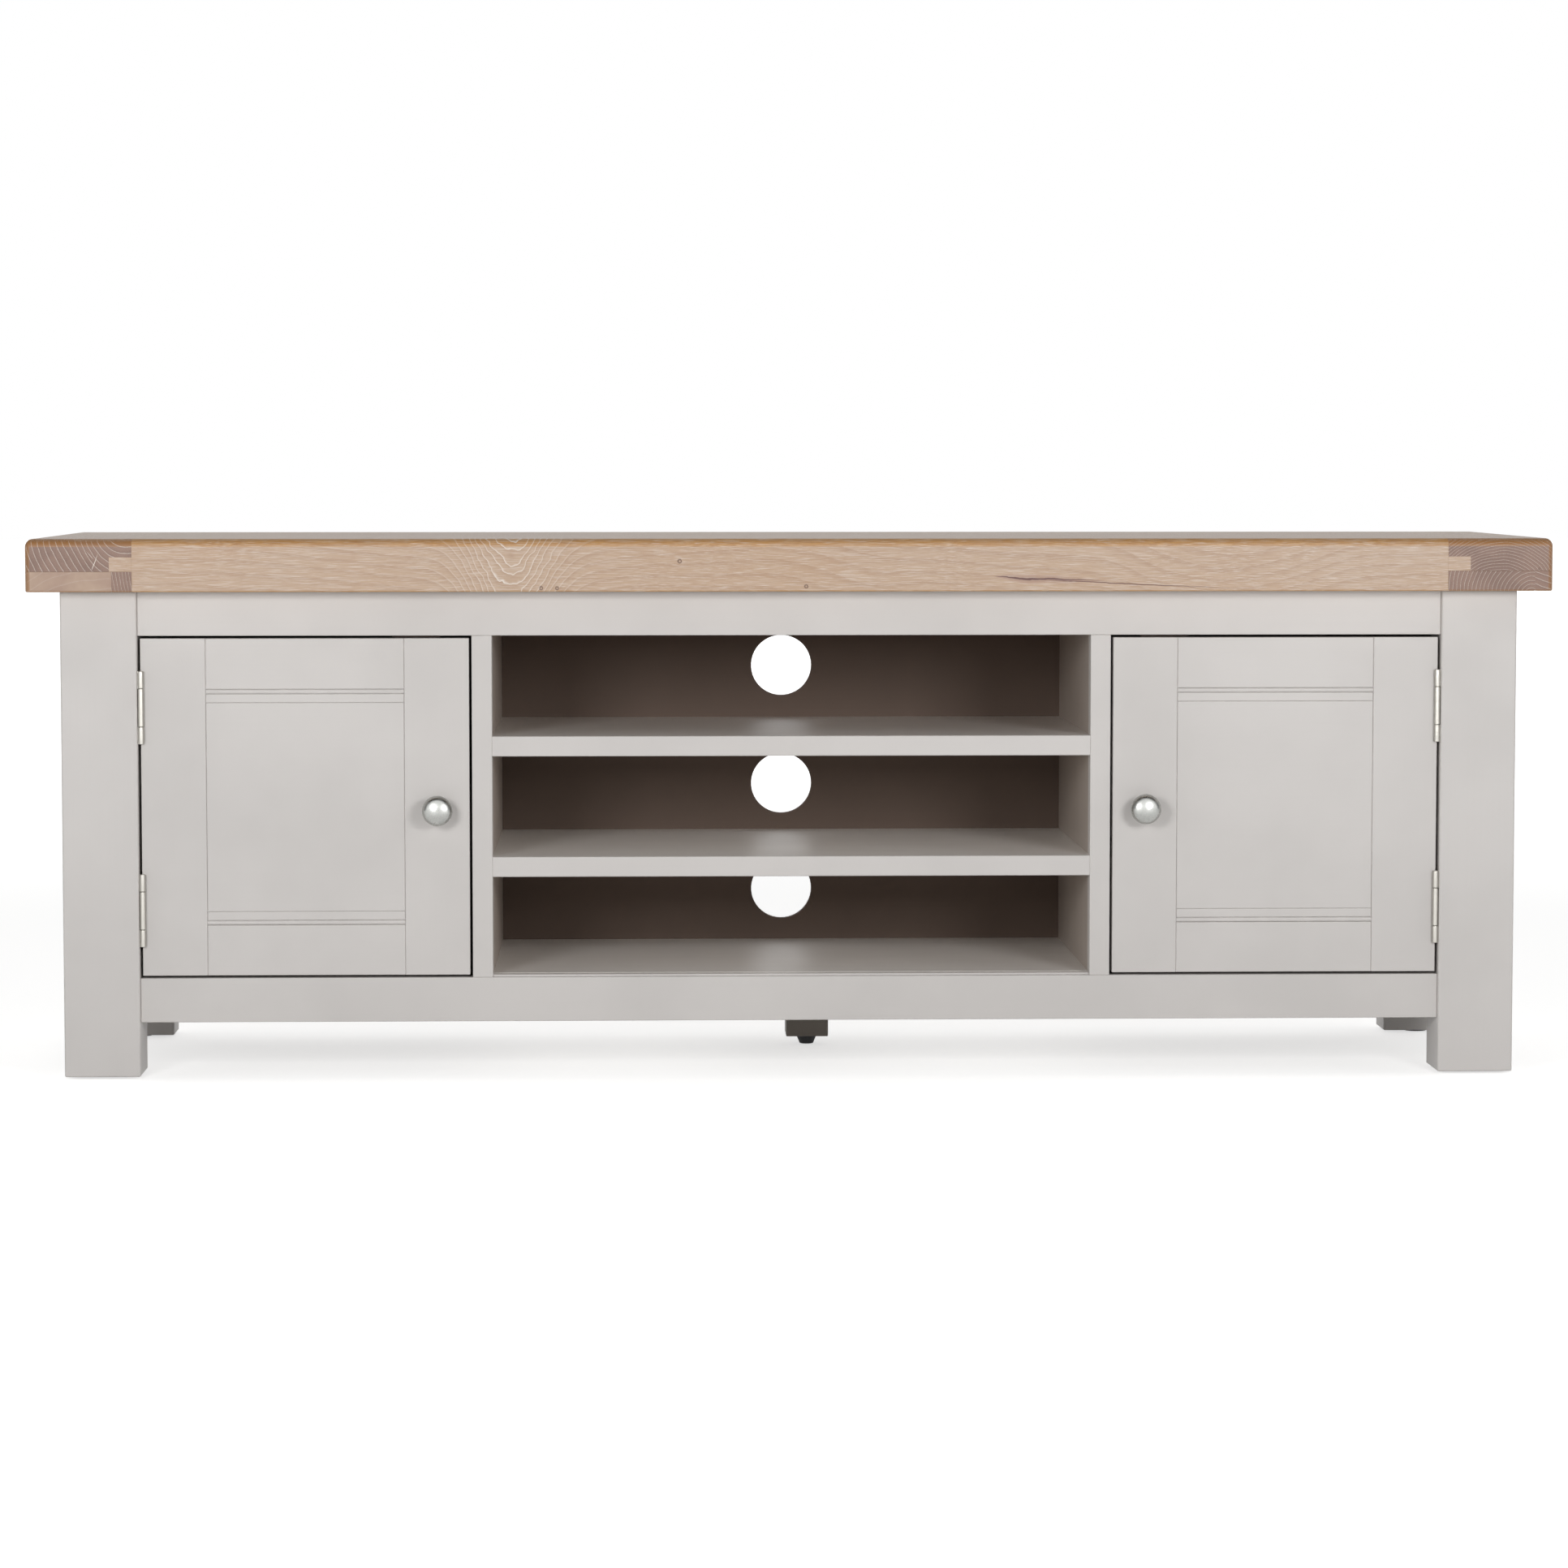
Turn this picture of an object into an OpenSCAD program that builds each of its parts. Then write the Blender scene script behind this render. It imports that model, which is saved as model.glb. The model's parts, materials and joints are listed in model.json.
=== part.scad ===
// Media cabinet: thick oak top on a painted frame, two cupboards and three open bays.
// Millimetres, +Z up, front towards -Y. The origin is on the floor, under the middle of the top.

/* [Overall] */
// Width of the oak top
top_w = 1500; // [1300:10:1900]
// Depth of the oak top
top_d = 420; // [390:5:540]
// Height from the floor to the face of the top
cabinet_h = 535; // [500:5:650]
// Smoothness of round parts
$fn = 48; // [24:8:96]

/* [Oak top] */
// Thickness of the top's edge
top_t = 52; // [46:1:60]
// Thickness of the boards in the middle of the top
top_board_t = 32; // [30:1:38]
// Distance that the cleats stop short of the legs' inner edges
cleat_short = 1; // [0.5:0.5:15]
// Length of the boards' tongues in the cleats
top_tongue_l = 22; // [10:1:30]
// Thickness of those tongues
top_tongue_t = 14; // [8:1:16]
// Radius of the top's upper arris
top_arris_r = 8; // [3:1:12]
// Overhang past the legs at each side
over_side = 30; // [10:1:50]
// Overhang past the front legs
over_front = 28; // [10:1:45]
// Overhang past the rear legs
over_rear = 15; // [0:1:40]

/* [Legs] */
// Width of each leg, as seen from the front
leg_w = 75; // [60:1:90]
// Depth of a front leg
leg_front_d = 65; // [55:1:80]
// Depth of a rear leg
leg_rear_d = 50; // [45:1:65]
// Height of the glide under each leg
leg_glide_h = 2.5; // [2:0.5:6]
// Diameter of the glide under each leg
leg_glide_dia = 26; // [16:1:40]

/* [Frame] */
// Height of the top rails
rail_top_h = 44; // [38:1:60]
// Height of the bottom rails
rail_bottom_h = 44; // [38:1:60]
// Space under the bottom rails
under_h = 56; // [40:1:120]
// Thickness of the rails
rail_t = 20; // [18:1:26]
// Step from the face of a leg back to a rail
reveal = 6; // [4.5:0.5:12]
// Length of the rails' tenons
tenon_l = 25; // [12:1:26]
// Thickness of the rails' tenons
tenon_t = 9; // [6:1:10]
// Shoulder above and below a tenon
tenon_shoulder = 6; // [3:1:10]
// Thickness of the side and back panels
panel_t = 9; // [6:0.5:10]
// Depth of the grooves that hold those panels
groove_d = 8; // [5:1:10]
// Slack all round a tenon or a panel in its groove
joint_slack = 0.1; // [0.05:0.05:0.3]

/* [Open bays] */
// Width of the open middle
bays_w = 593; // [480:1:700]
// Width of the stile on the front of each divider
divider_stile_w = 20; // [18:1:40]
// Thickness of each divider
divider_t = 18; // [15:1:18]
// Thickness of each shelf
shelf_t = 20; // [16:1:25]
// Depth of the housing that holds a shelf's end
housing_d = 6; // [3:1:8]
// Clear depth from the legs' faces to the back panel
inside_d = 341; // [300:1:345]
// Thickness of the cupboards' bottom boards
base_t = 18; // [15:1:22]
// Height that the middle bottom board stands above the rail
base_lip_h = 2.2; // [1:0.2:3]
// Step from the rail's face back to that board's edge
base_lip_step = 4; // [2:1:12]
// Diameter of each cable hole
cable_hole_dia = 64; // [40:1:70]
// Height of the lower cable hole above its floor
cable_up_lower = 54; // [37:1:55]
// Height of the middle cable hole above its floor
cable_up_middle = 49; // [37:1:55]
// Height of the upper cable hole above its floor
cable_up_upper = 55; // [37:1:55]

/* [Doors] */
// Gap round each door
door_gap = 2.6; // [2.5:0.1:4]
// Thickness of a door
door_t = 20; // [18:1:24]
// Width of a door's stiles
door_stile_w = 64; // [50:1:80]
// Height of a door's rails
door_rail_h = 50; // [40:1:80]
// Height of the bead along each rail
bead_h = 4.8; // [3:0.2:8]
// Depth of that bead
bead_d = 5.6; // [4:0.2:6]
// Step from the frame's face back to the door panel
door_panel_step = 0.6; // [0.3:0.1:2]
// Thickness of a door panel
door_panel_t = 12; // [11:1:13]
// Thickness of the tongues round rails and panel
door_tongue_t = 6; // [4:1:7]
// Length of those tongues
door_tongue_l = 8; // [5:1:12]
// How far a door opens, in degrees
door_swing = 170; // [90:5:175]

/* [Knobs and catches] */
// Diameter of the knob
knob_dia = 30; // [22:1:34]
// Radius of the knob's domed face
knob_dome_r = 26; // [22:1:60]
// Radius of the knob's rounded rim
knob_rim_r = 8; // [4:0.5:9]
// Reach of the knob from the door's face
knob_reach = 29; // [24:1:31]
// Diameter of the knob's neck
knob_neck_dia = 11; // [8:1:14]
// Distance from the door's free edge to the knob
knob_in = 31; // [20:1:45]
// Distance that the knob sits below the door's middle
knob_drop = 2.5; // [0:0.5:20]
// Diameter of the knob's screw
knob_screw_dia = 4; // [3:0.5:5]
// Width of the magnetic catch
catch_w = 47; // [40:1:60]
// Depth of the magnetic catch
catch_d = 15; // [13:1:20]
// Distance from the door's free edge to the middle of the catch
catch_in = 53; // [40:1:80]
// Gap between the magnet and its plate
catch_gap = 0.5; // [0.4:0.1:1]

/* [Hinges] */
// Length of each hinge
hinge_l = 72; // [60:1:90]
// Width of a hinge leaf behind the barrel
leaf_w = 22; // [19:1:24]
// Thickness of a hinge leaf
leaf_t = 1.1; // [0.8:0.1:1.1]
// Diameter of the hinge barrel
barrel_dia = 6; // [5.6:0.2:6.4]
// Diameter of the hinge pin
pin_dia = 3; // [2.6:0.2:3.2]
// Running clearance all round the pin
pin_clear = 0.05; // [0.03:0.01:0.08]
// Share of the barrel that is the door's knuckle
knuckle_share = 0.52; // [0.3:0.02:0.6]
// Gap between knuckles
knuckle_gap = 0.3; // [0.2:0.1:0.5]
// Gap from the barrel to the leg and to the door
barrel_gap = 0.4; // [0.3:0.1:0.6]
// Distance from the door's top to the upper hinge
hinge_in_top = 32; // [20:1:60]
// Distance from the door's bottom to the lower hinge
hinge_in_bottom = 29; // [20:1:60]
// Diameter of the leaves' screws
leaf_screw_dia = 3; // [2.5:0.1:3.4]

/* [Centre foot] */
// Side of the square foot block
foot_w = 44; // [36:1:60]
// Distance of the foot to the right of the middle
foot_off = 24; // [0:1:26]
// Distance from the front legs' faces to the foot
foot_back = 240; // [150:5:270]
// Height of the black glide under the foot
foot_glide_h = 9.6; // [6:0.2:14]
// Diameter of the glide at its top
foot_glide_top = 20.6; // [16:0.2:30]
// Diameter of the glide at the floor
foot_glide_low = 15.2; // [10:0.2:15.8]

/* [Hidden] */

// Colours
oak = "#c8a98f";
oak_end = "#a48674";
paint = "#cdc9c5";
inside_paint = "#8e8982";
nickel = "#b9b6ae";
steel = "#8d8f92";
rubber = "#1d1d1f";

// Levels, from the floor up
frame_top = cabinet_h - top_t;
opening_top = frame_top - rail_top_h;
opening_low = under_h + rail_bottom_h;
base_low = opening_low - base_t;
base_high = opening_low + base_lip_h;
bay_h = (opening_top - opening_low - 2 * shelf_t) / 3;
shelf_lower_z = opening_low + bay_h;
shelf_upper_z = shelf_lower_z + shelf_t + bay_h;

// Places across the depth, front to back
top_front = -top_d / 2;
top_back = top_d / 2;
leg_face = top_front + over_front;
leg_back = top_back - over_rear;
rail_face = leg_face + reveal;
rail_rear_face = rail_face + rail_t;
back_face = leg_face + inside_d;
back_rear_face = back_face + panel_t;

// Places across the width, from the middle outwards
leg_out = top_w / 2 - over_side;
leg_in = leg_out - leg_w;
side_face = leg_out - reveal;
side_mid = side_face - rail_t / 2;
bays_half = bays_w / 2;
stile_out = bays_half + divider_stile_w;
divider_out = bays_half + divider_t;
panel_split = bays_half + divider_t / 2;
cleat_w = over_side + leg_w - cleat_short;
top_field_half = top_w / 2 - cleat_w;

// Battens under the top
batten_s = 20;
batten_end = 3;

// Tenons and grooves
tenon_mid = rail_face + rail_t / 2;
rear_rail_mid = back_rear_face + rail_t / 2;
slot_d = groove_d + joint_slack;

// Doors
door_low = opening_low + door_gap;
door_high = opening_top - door_gap;
door_mid = (door_low + door_high) / 2;
door_free = stile_out + door_gap;
door_hinged = leg_in - door_gap;
door_back = rail_face + door_t;
door_rails_from = door_free + door_stile_w;
door_rails_to = door_hinged - door_stile_w;
door_tongue_y = rail_face + bead_d + 2 * joint_slack;
door_slot_t = door_tongue_t + 2 * joint_slack;
door_slot_d = door_tongue_l + joint_slack;

// Hinges: the barrel stands clear of the leg by one gap and of the door's face by the other
barrel_r = barrel_dia / 2;
hinge_x = leg_in - barrel_r - barrel_gap;
hinge_y = rail_face - barrel_r - knuckle_gap;
hinge_z = [door_low + hinge_in_bottom, door_high - hinge_in_top - hinge_l];
door_knuckle_l = hinge_l * knuckle_share;
frame_knuckle_l = (hinge_l - door_knuckle_l) / 2 - knuckle_gap;
knuckle_bore_r = pin_dia / 2 + pin_clear;
leaf_screw_y = hinge_y + barrel_r + leaf_w / 2;
leaf_screw_share = 0.16;
leaf_screw_up = [hinge_l * leaf_screw_share, hinge_l * (1 - leaf_screw_share)];
leaf_root_share = 0.66;
door_leaf_root = hinge_y + barrel_r * leaf_root_share;
leaf_screw_l = 14;
leaf_head_dia = 5.6;

// Knob, catch and plate
knob_x = door_free + knob_in;
knob_z = door_mid - knob_drop;
knob_thread_l = 12;
knob_foot_t = 3;
knob_cone_t = 5;
knob_rim_at = knob_dia / 2 - knob_rim_r;
knob_dome_at = knob_reach - knob_dome_r;
knob_dome_up = sqrt(pow(knob_dome_r - knob_rim_r, 2) - pow(knob_rim_at, 2));
knob_rim_h = knob_dome_at + knob_dome_up;
knob_neck_h = knob_rim_h - knob_rim_r - knob_cone_t;
knob_out = 2 * knob_rim_r / (knob_dome_r - knob_rim_r);
knob_flare = 2.5;
knob_head_dia = 8;
knob_head_t = 2.5;
catch_x = door_free + catch_in;
plate_w = 32;
plate_h = 14;
plate_t = 1.5;
plate_drop = 2;
strike_bite = 10;
catch_lip = 1;
catch_flange_h = 14;
catch_screw_in = 7;
catch_screw_down = 6;
catch_screw_bite = 8;
pole_proud = 0.4;
catch_low = door_high - plate_drop - plate_h - catch_lip;
catch_high = opening_top + catch_flange_h;
catch_face = door_back + plate_t + catch_gap + pole_proud;
catch_body = max(catch_face, rail_rear_face);
catch_back = rail_rear_face + catch_d;
pole_w = 30;
pole_h = 12;

// Feet
nail_dia = 2.4;
nail_l = 12;
hole_ease = 0.1;
foot_front = leg_face + foot_back;
foot_top = base_low - batten_s;
bearer_w = 2 * (foot_off + foot_w / 2) + 8;

function mid(a, b) = (a + b) / 2;

// A block between two opposite corners
module span(low, high) {
    translate(low)
        cube([high[0] - low[0], high[1] - low[1], high[2] - low[2]]);
}

// Draws its children at the left as they are drawn at the right
module left_side() {
    mirror([1, 0, 0])
        children();
}

// A rectangle whose far upper corner is round, and its near one too if both is true
module eased_outline(w, h, r, both) {
    difference() {
        square([w, h]);
        translate([w - r, h - r])
            difference() {
                square([r + 1, r + 1]);
                circle(r);
            }
        if (both)
            translate([r, h - r])
                difference() {
                    translate([-r - 1, 0])
                        square([r + 1, r + 1]);
                    circle(r);
                }
    }
}

// A round hole or shank along +X from its start
module rod_x(start, dia, length) {
    translate(start)
        rotate([0, 90, 0])
            cylinder(d = dia, h = length);
}

// The same along +Y
module rod_y(start, dia, length) {
    translate(start)
        rotate([-90, 0, 0])
            cylinder(d = dia, h = length);
}

// The same along +Z
module rod_z(start, dia, length) {
    translate(start)
        cylinder(d = dia, h = length);
}

// ---- Oak top ----

tongue_low = cabinet_h - top_board_t;
board_d = top_d / 4;

// The tongues on both ends of a board, grown by slack where they are cut
module top_tongues(y0, y1, slack) {
    for (s = [-1, 1])
        span([s * (top_field_half + top_tongue_l / 2) - top_tongue_l / 2 - slack, y0, tongue_low - slack],
             [s * (top_field_half + top_tongue_l / 2) + top_tongue_l / 2 + slack, y1,
              tongue_low + top_tongue_t + slack]);
}

module top_front_board() {
    color(oak)
        union() {
            translate([top_field_half, top_front + board_d, frame_top])
                rotate([90, 0, -90])
                    linear_extrude(2 * top_field_half)
                        eased_outline(board_d, top_t, top_arris_r, false);
            top_tongues(top_front, top_front + board_d, 0);
        }
}

module top_middle_boards() {
    color(oak)
        for (i = [1, 2])
            union() {
                span([-top_field_half, top_front + i * board_d, tongue_low],
                     [top_field_half, top_front + (i + 1) * board_d, cabinet_h]);
                top_tongues(top_front + i * board_d, top_front + (i + 1) * board_d, 0);
            }
}

module top_rear_board() {
    color(oak)
        union() {
            translate([-top_field_half, top_back - board_d, frame_top])
                rotate([90, 0, 90])
                    linear_extrude(2 * top_field_half)
                        eased_outline(board_d, top_t, top_arris_r, false);
            top_tongues(top_back - board_d, top_back, 0);
        }
}

module top_cleat() {
    color(oak_end)
        difference() {
            intersection() {
                translate([top_field_half, top_back, tongue_low])
                    rotate([90, 0, 0])
                        linear_extrude(top_d)
                            eased_outline(cleat_w, top_board_t, top_arris_r, false);
                translate([top_field_half, top_front, tongue_low])
                    rotate([90, 0, 90])
                        linear_extrude(cleat_w)
                            eased_outline(top_d, top_board_t, top_arris_r, true);
            }
            top_tongues(top_front - 1, top_back + 1, joint_slack);
        }
}

module top_packing() {
    color(oak_end)
        span([top_field_half, top_front, frame_top], [top_w / 2, top_back, tongue_low - joint_slack]);
}

module top_cleat_left() left_side() top_cleat();
module top_cleat_right() top_cleat();
module top_packing_left() left_side() top_packing();
module top_packing_right() top_packing();

// ---- Legs and rails ----

// A tenon along X at the right end of a front or rear rail, grown by slack where it is cut
module tenon_x(mid_y, low, high, slack) {
    span([leg_in - 1, mid_y - tenon_t / 2 - slack, low + tenon_shoulder - slack],
         [leg_in + tenon_l + slack, mid_y + tenon_t / 2 + slack, high - tenon_shoulder + slack]);
}

// A side rail's tenons along Y, at its front and rear ends
module tenons_y(low, high, slack) {
    span([side_mid - tenon_t / 2 - slack, leg_face + leg_front_d - tenon_l - slack, low + tenon_shoulder - slack],
         [side_mid + tenon_t / 2 + slack, leg_face + leg_front_d + 1, high - tenon_shoulder + slack]);
    span([side_mid - tenon_t / 2 - slack, leg_back - leg_rear_d - 1, low + tenon_shoulder - slack],
         [side_mid + tenon_t / 2 + slack, leg_back - leg_rear_d + tenon_l + slack, high - tenon_shoulder + slack]);
}

// The side panel, which also cuts its own grooves
module side_panel_body(slack) {
    span([side_mid - panel_t / 2 - slack, leg_face + leg_front_d - groove_d - slack,
          opening_low - groove_d - slack],
         [side_mid + panel_t / 2 + slack, leg_back - leg_rear_d + groove_d + slack,
          opening_top + groove_d + slack]);
}

// Everything that is let into the right-hand legs
module leg_joints() {
    tenon_x(tenon_mid, under_h, opening_low, joint_slack);
    tenon_x(tenon_mid, opening_top, frame_top, joint_slack);
    tenon_x(rear_rail_mid, under_h, opening_low, joint_slack);
    tenon_x(rear_rail_mid, opening_top, frame_top, joint_slack);
    tenons_y(under_h, opening_low, joint_slack);
    tenons_y(opening_top, frame_top, joint_slack);
    side_panel_body(joint_slack);
}

module nail_hole(x, y, dia) {
    rod_z([x, y, leg_glide_h - 1], dia, nail_l + 1);
}

module leg_front() {
    color(paint)
        difference() {
            span([leg_in, leg_face, leg_glide_h], [leg_out, leg_face + leg_front_d, frame_top]);
            leg_joints();
            nail_hole(mid(leg_in, leg_out), leg_face + leg_front_d / 2, nail_dia + hole_ease);
            for (z = hinge_z, up = leaf_screw_up)
                rod_x([leg_in - 1, leaf_screw_y, z + up], leaf_screw_dia + hole_ease, leaf_screw_l + 1);
        }
}

module leg_rear() {
    color(paint)
        difference() {
            span([leg_in, leg_back - leg_rear_d, leg_glide_h], [leg_out, leg_back, frame_top]);
            leg_joints();
            span([leg_in - 1, back_face - joint_slack, base_low - joint_slack],
                 [leg_in + slot_d, back_rear_face + joint_slack, frame_top - batten_end + joint_slack]);
            nail_hole(mid(leg_in, leg_out), leg_back - leg_rear_d / 2, nail_dia + hole_ease);
        }
}

module leg_front_left() left_side() leg_front();
module leg_front_right() leg_front();
module leg_rear_left() left_side() leg_rear();
module leg_rear_right() leg_rear();

// A rail between the legs with a tenon at each end
module cross_rail(mid_y, low, high) {
    span([-leg_in, mid_y - rail_t / 2, low], [leg_in, mid_y + rail_t / 2, high]);
    tenon_x(mid_y, low, high, 0);
    left_side()
        tenon_x(mid_y, low, high, 0);
}

// The divider stiles' tenons, grown by slack where they are cut
stile_tenon_l = 10;
stile_tenon_w = 8;
module stile_tenons(slack) {
    for (s = [-1, 1])
        span([s * mid(bays_half, stile_out) - stile_tenon_w / 2 - slack, tenon_mid - tenon_t / 2 - slack,
              opening_low - stile_tenon_l - slack],
             [s * mid(bays_half, stile_out) + stile_tenon_w / 2 + slack, tenon_mid + tenon_t / 2 + slack,
              opening_top + stile_tenon_l + slack]);
}

module rail_front_top() {
    color(paint)
        difference() {
            cross_rail(tenon_mid, opening_top, frame_top);
            stile_tenons(joint_slack);
            catch_screws(hole_ease);
        }
}

module rail_front_bottom() {
    color(paint)
        difference() {
            cross_rail(tenon_mid, under_h, opening_low);
            stile_tenons(joint_slack);
        }
}

module rail_rear_top() {
    color(paint)
        cross_rail(rear_rail_mid, opening_top, frame_top);
}

module rail_rear_bottom() {
    color(paint)
        cross_rail(rear_rail_mid, under_h, opening_low);
}

module side_rails() {
    color(paint)
        for (level = [[under_h, opening_low], [opening_top, frame_top]])
            difference() {
                union() {
                    span([side_mid - rail_t / 2, leg_face + leg_front_d, level[0]],
                         [side_face, leg_back - leg_rear_d, level[1]]);
                    tenons_y(level[0], level[1], 0);
                }
                side_panel_body(joint_slack);
            }
}

module side_panel() {
    color(paint)
        side_panel_body(0);
}

module side_rails_left() left_side() side_rails();
module side_rails_right() side_rails();
module side_panel_left() left_side() side_panel();
module side_panel_right() side_panel();

// ---- Dividers, shelves, bottom and back ----

// The part of a shelf that is let into the dividers, grown by slack where it is cut
module shelf_ends(low, slack) {
    for (s = [-1, 1])
        span([s * (bays_half + housing_d / 2) - housing_d / 2 - slack, rail_rear_face + reveal - slack, low - slack],
             [s * (bays_half + housing_d / 2) + housing_d / 2 + slack, back_face, low + shelf_t + slack]);
}

module divider() {
    color(paint)
        difference() {
            span([bays_half, rail_rear_face, base_low], [divider_out, back_face, frame_top]);
            shelf_ends(shelf_lower_z, joint_slack);
            shelf_ends(shelf_upper_z, joint_slack);
        }
}

module divider_stile() {
    color(paint)
        union() {
            span([bays_half, rail_face, opening_low], [stile_out, rail_rear_face, opening_top]);
            intersection() {
                stile_tenons(0);
                span([0, top_front, 0], [top_w, top_back, cabinet_h]);
            }
        }
}

module divider_left() left_side() divider();
module divider_right() divider();
module divider_stile_left() left_side() divider_stile();
module divider_stile_right() divider_stile();

module shelf(low) {
    color(paint)
        union() {
            span([-bays_half, rail_face, low], [bays_half, back_face, low + shelf_t]);
            shelf_ends(low, 0);
        }
}

module shelf_upper() shelf(shelf_upper_z);
module shelf_lower() shelf(shelf_lower_z);

// The middle bottom board, whose front edge lies on the rail
module base_board_centre() {
    color(paint)
        union() {
            span([-bays_half, rail_rear_face, base_low], [bays_half, back_face, base_high]);
            span([-bays_half, rail_face + base_lip_step, opening_low], [bays_half, rail_rear_face + 1, base_high]);
        }
}

module base_boards_side() {
    color(inside_paint)
        for (side = [0, 1])
            mirror([side, 0, 0])
                difference() {
                    span([divider_out, rail_rear_face, base_low],
                         [side_face - rail_t, back_face, opening_low]);
                    span([leg_in, rail_rear_face - 1, base_low - 1],
                         [leg_out, leg_face + leg_front_d, opening_low + 1]);
                    span([leg_in, leg_back - leg_rear_d, base_low - 1], [leg_out, leg_back, opening_low + 1]);
                }
}

// Cross bearers under the bottom boards. The middle one also carries the foot.
module base_bearers() {
    color(inside_paint)
        for (x = [-mid(divider_out, leg_in), 0, mid(divider_out, leg_in)])
            span([x - bearer_w / 2, rail_rear_face, foot_top],
                 [x + bearer_w / 2, back_rear_face, base_low]);
}

module cable_hole(height) {
    rod_y([0, back_face - 1, height], cable_hole_dia, panel_t + 2);
}

module back_panel_centre() {
    color(paint)
        difference() {
            span([-panel_split, back_face, base_low], [panel_split, back_rear_face, frame_top - batten_end]);
            cable_hole(base_high + cable_up_lower);
            cable_hole(shelf_lower_z + shelf_t + cable_up_middle);
            cable_hole(shelf_upper_z + shelf_t + cable_up_upper);
        }
}

module back_panels_side() {
    color(inside_paint)
        for (side = [0, 1])
            mirror([side, 0, 0])
                span([panel_split, back_face, base_low],
                     [leg_in + groove_d, back_rear_face, frame_top - batten_end]);
}

// ---- Feet ----

module centre_foot() {
    color(inside_paint)
        difference() {
            span([foot_off - foot_w / 2, foot_front, foot_glide_h],
                 [foot_off + foot_w / 2, foot_front + foot_w, foot_top]);
            rod_z([foot_off, foot_front + foot_w / 2, foot_glide_h - 1], nail_dia + hole_ease, nail_l + 2);
        }
}

module centre_glide() {
    color(rubber)
        translate([foot_off, foot_front + foot_w / 2, 0])
            union() {
                cylinder(d1 = foot_glide_low, d2 = foot_glide_top, h = foot_glide_h);
                cylinder(d = nail_dia, h = foot_glide_h + nail_l);
            }
}

module leg_glides() {
    color(rubber)
        for (x = [-mid(leg_in, leg_out), mid(leg_in, leg_out)])
            for (y = [leg_face + leg_front_d / 2, leg_back - leg_rear_d / 2])
                union() {
                    rod_z([x, y, 0], leg_glide_dia, leg_glide_h);
                    rod_z([x, y, 0], nail_dia, leg_glide_h + nail_l - 1);
                }
}

// ---- Fixings ----

top_screw_dia = 5;
top_screw_head = 9;
top_screw_head_t = 3;
top_screw_l = 38;
top_screw_in = 40;

// A bay's left and right limits, for the three bays between dividers and legs
bay_limits = [[-leg_in, -divider_out], [-bays_half, bays_half], [divider_out, leg_in]];

// Screws that run up through the battens into the front and rear boards of the top
module top_screws(ease) {
    for (limits = bay_limits, y = [rail_rear_face + batten_s / 2, back_face - batten_s / 2])
        for (x = [limits[0] + top_screw_in, limits[1] - top_screw_in]) {
            rod_z([x, y, frame_top - batten_s - 1], top_screw_head + ease, top_screw_head_t + 1);
            rod_z([x, y, frame_top - batten_s], top_screw_dia + ease, batten_s);
        }
}

module fixing_battens() {
    color(inside_paint)
        difference() {
            for (limits = bay_limits, y = [rail_rear_face, back_face - batten_s])
                span([limits[0], y, frame_top - batten_s], [limits[1], y + batten_s, frame_top]);
            top_screws(hole_ease);
        }
}

// Two screws that hold each catch to the rail
module catch_screws(ease) {
    for (side = [-1, 1], x = [-catch_w / 2 + catch_screw_in, catch_w / 2 - catch_screw_in])
        rod_y([side * catch_x + x, rail_rear_face - catch_screw_bite, catch_high - catch_screw_down],
              leaf_screw_dia + ease, catch_d + catch_screw_bite);
}

// Screws into the legs, through the hinges' frame leaves
module leg_screws() {
    for (side = [0, 1])
        mirror([side, 0, 0])
            for (z = hinge_z, up = leaf_screw_up)
                translate([leg_in, leaf_screw_y, z + up])
                    rotate([0, 90, 0])
                        union() {
                            translate([0, 0, -leaf_t])
                                cylinder(d1 = leaf_head_dia, d2 = leaf_screw_dia, h = leaf_t);
                            cylinder(d = leaf_screw_dia, h = leaf_screw_l - 1);
                        }
}

module frame_screws() {
    color(steel)
        union() {
            difference() {
                top_screws(0);
                span([-top_w, top_front, frame_top - batten_s - 2], [top_w, top_back, frame_top - batten_s]);
            }
            catch_screws(0);
            leg_screws();
        }
}

// ---- Magnetic catches ----

module magnet_catches() {
    color(inside_paint)
        for (side = [0, 1])
            mirror([side, 0, 0])
                difference() {
                    union() {
                        span([catch_x - catch_w / 2, rail_rear_face, opening_top + catch_lip],
                             [catch_x + catch_w / 2, catch_back, catch_high]);
                        span([catch_x - catch_w / 2, catch_body, catch_low],
                             [catch_x + catch_w / 2, catch_back, catch_high]);
                        span([catch_x - pole_w / 2, catch_face - pole_proud, catch_low + catch_lip],
                             [catch_x + pole_w / 2, catch_back, catch_low + catch_lip + pole_h]);
                    }
                    catch_screws(hole_ease);
                }
}

// ---- Hinges ----

// A knuckle of the barrel, standing on the hinge axis
module knuckle(low, length) {
    rod_z([hinge_x, hinge_y, low], barrel_dia, length);
}

module pin_bore(low) {
    rod_z([hinge_x, hinge_y, low - 1], 2 * knuckle_bore_r, hinge_l + 2);
}

// Countersunk holes in a leaf whose outer face is at x and whose screws run towards +X or -X
module leaf_holes(x, low, way) {
    for (up = leaf_screw_up)
        translate([x, leaf_screw_y, low + up])
            rotate([0, way * 90, 0])
                cylinder(d1 = leaf_head_dia + 2 * hole_ease, d2 = leaf_screw_dia + 2 * hole_ease, h = leaf_t);
}

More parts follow.
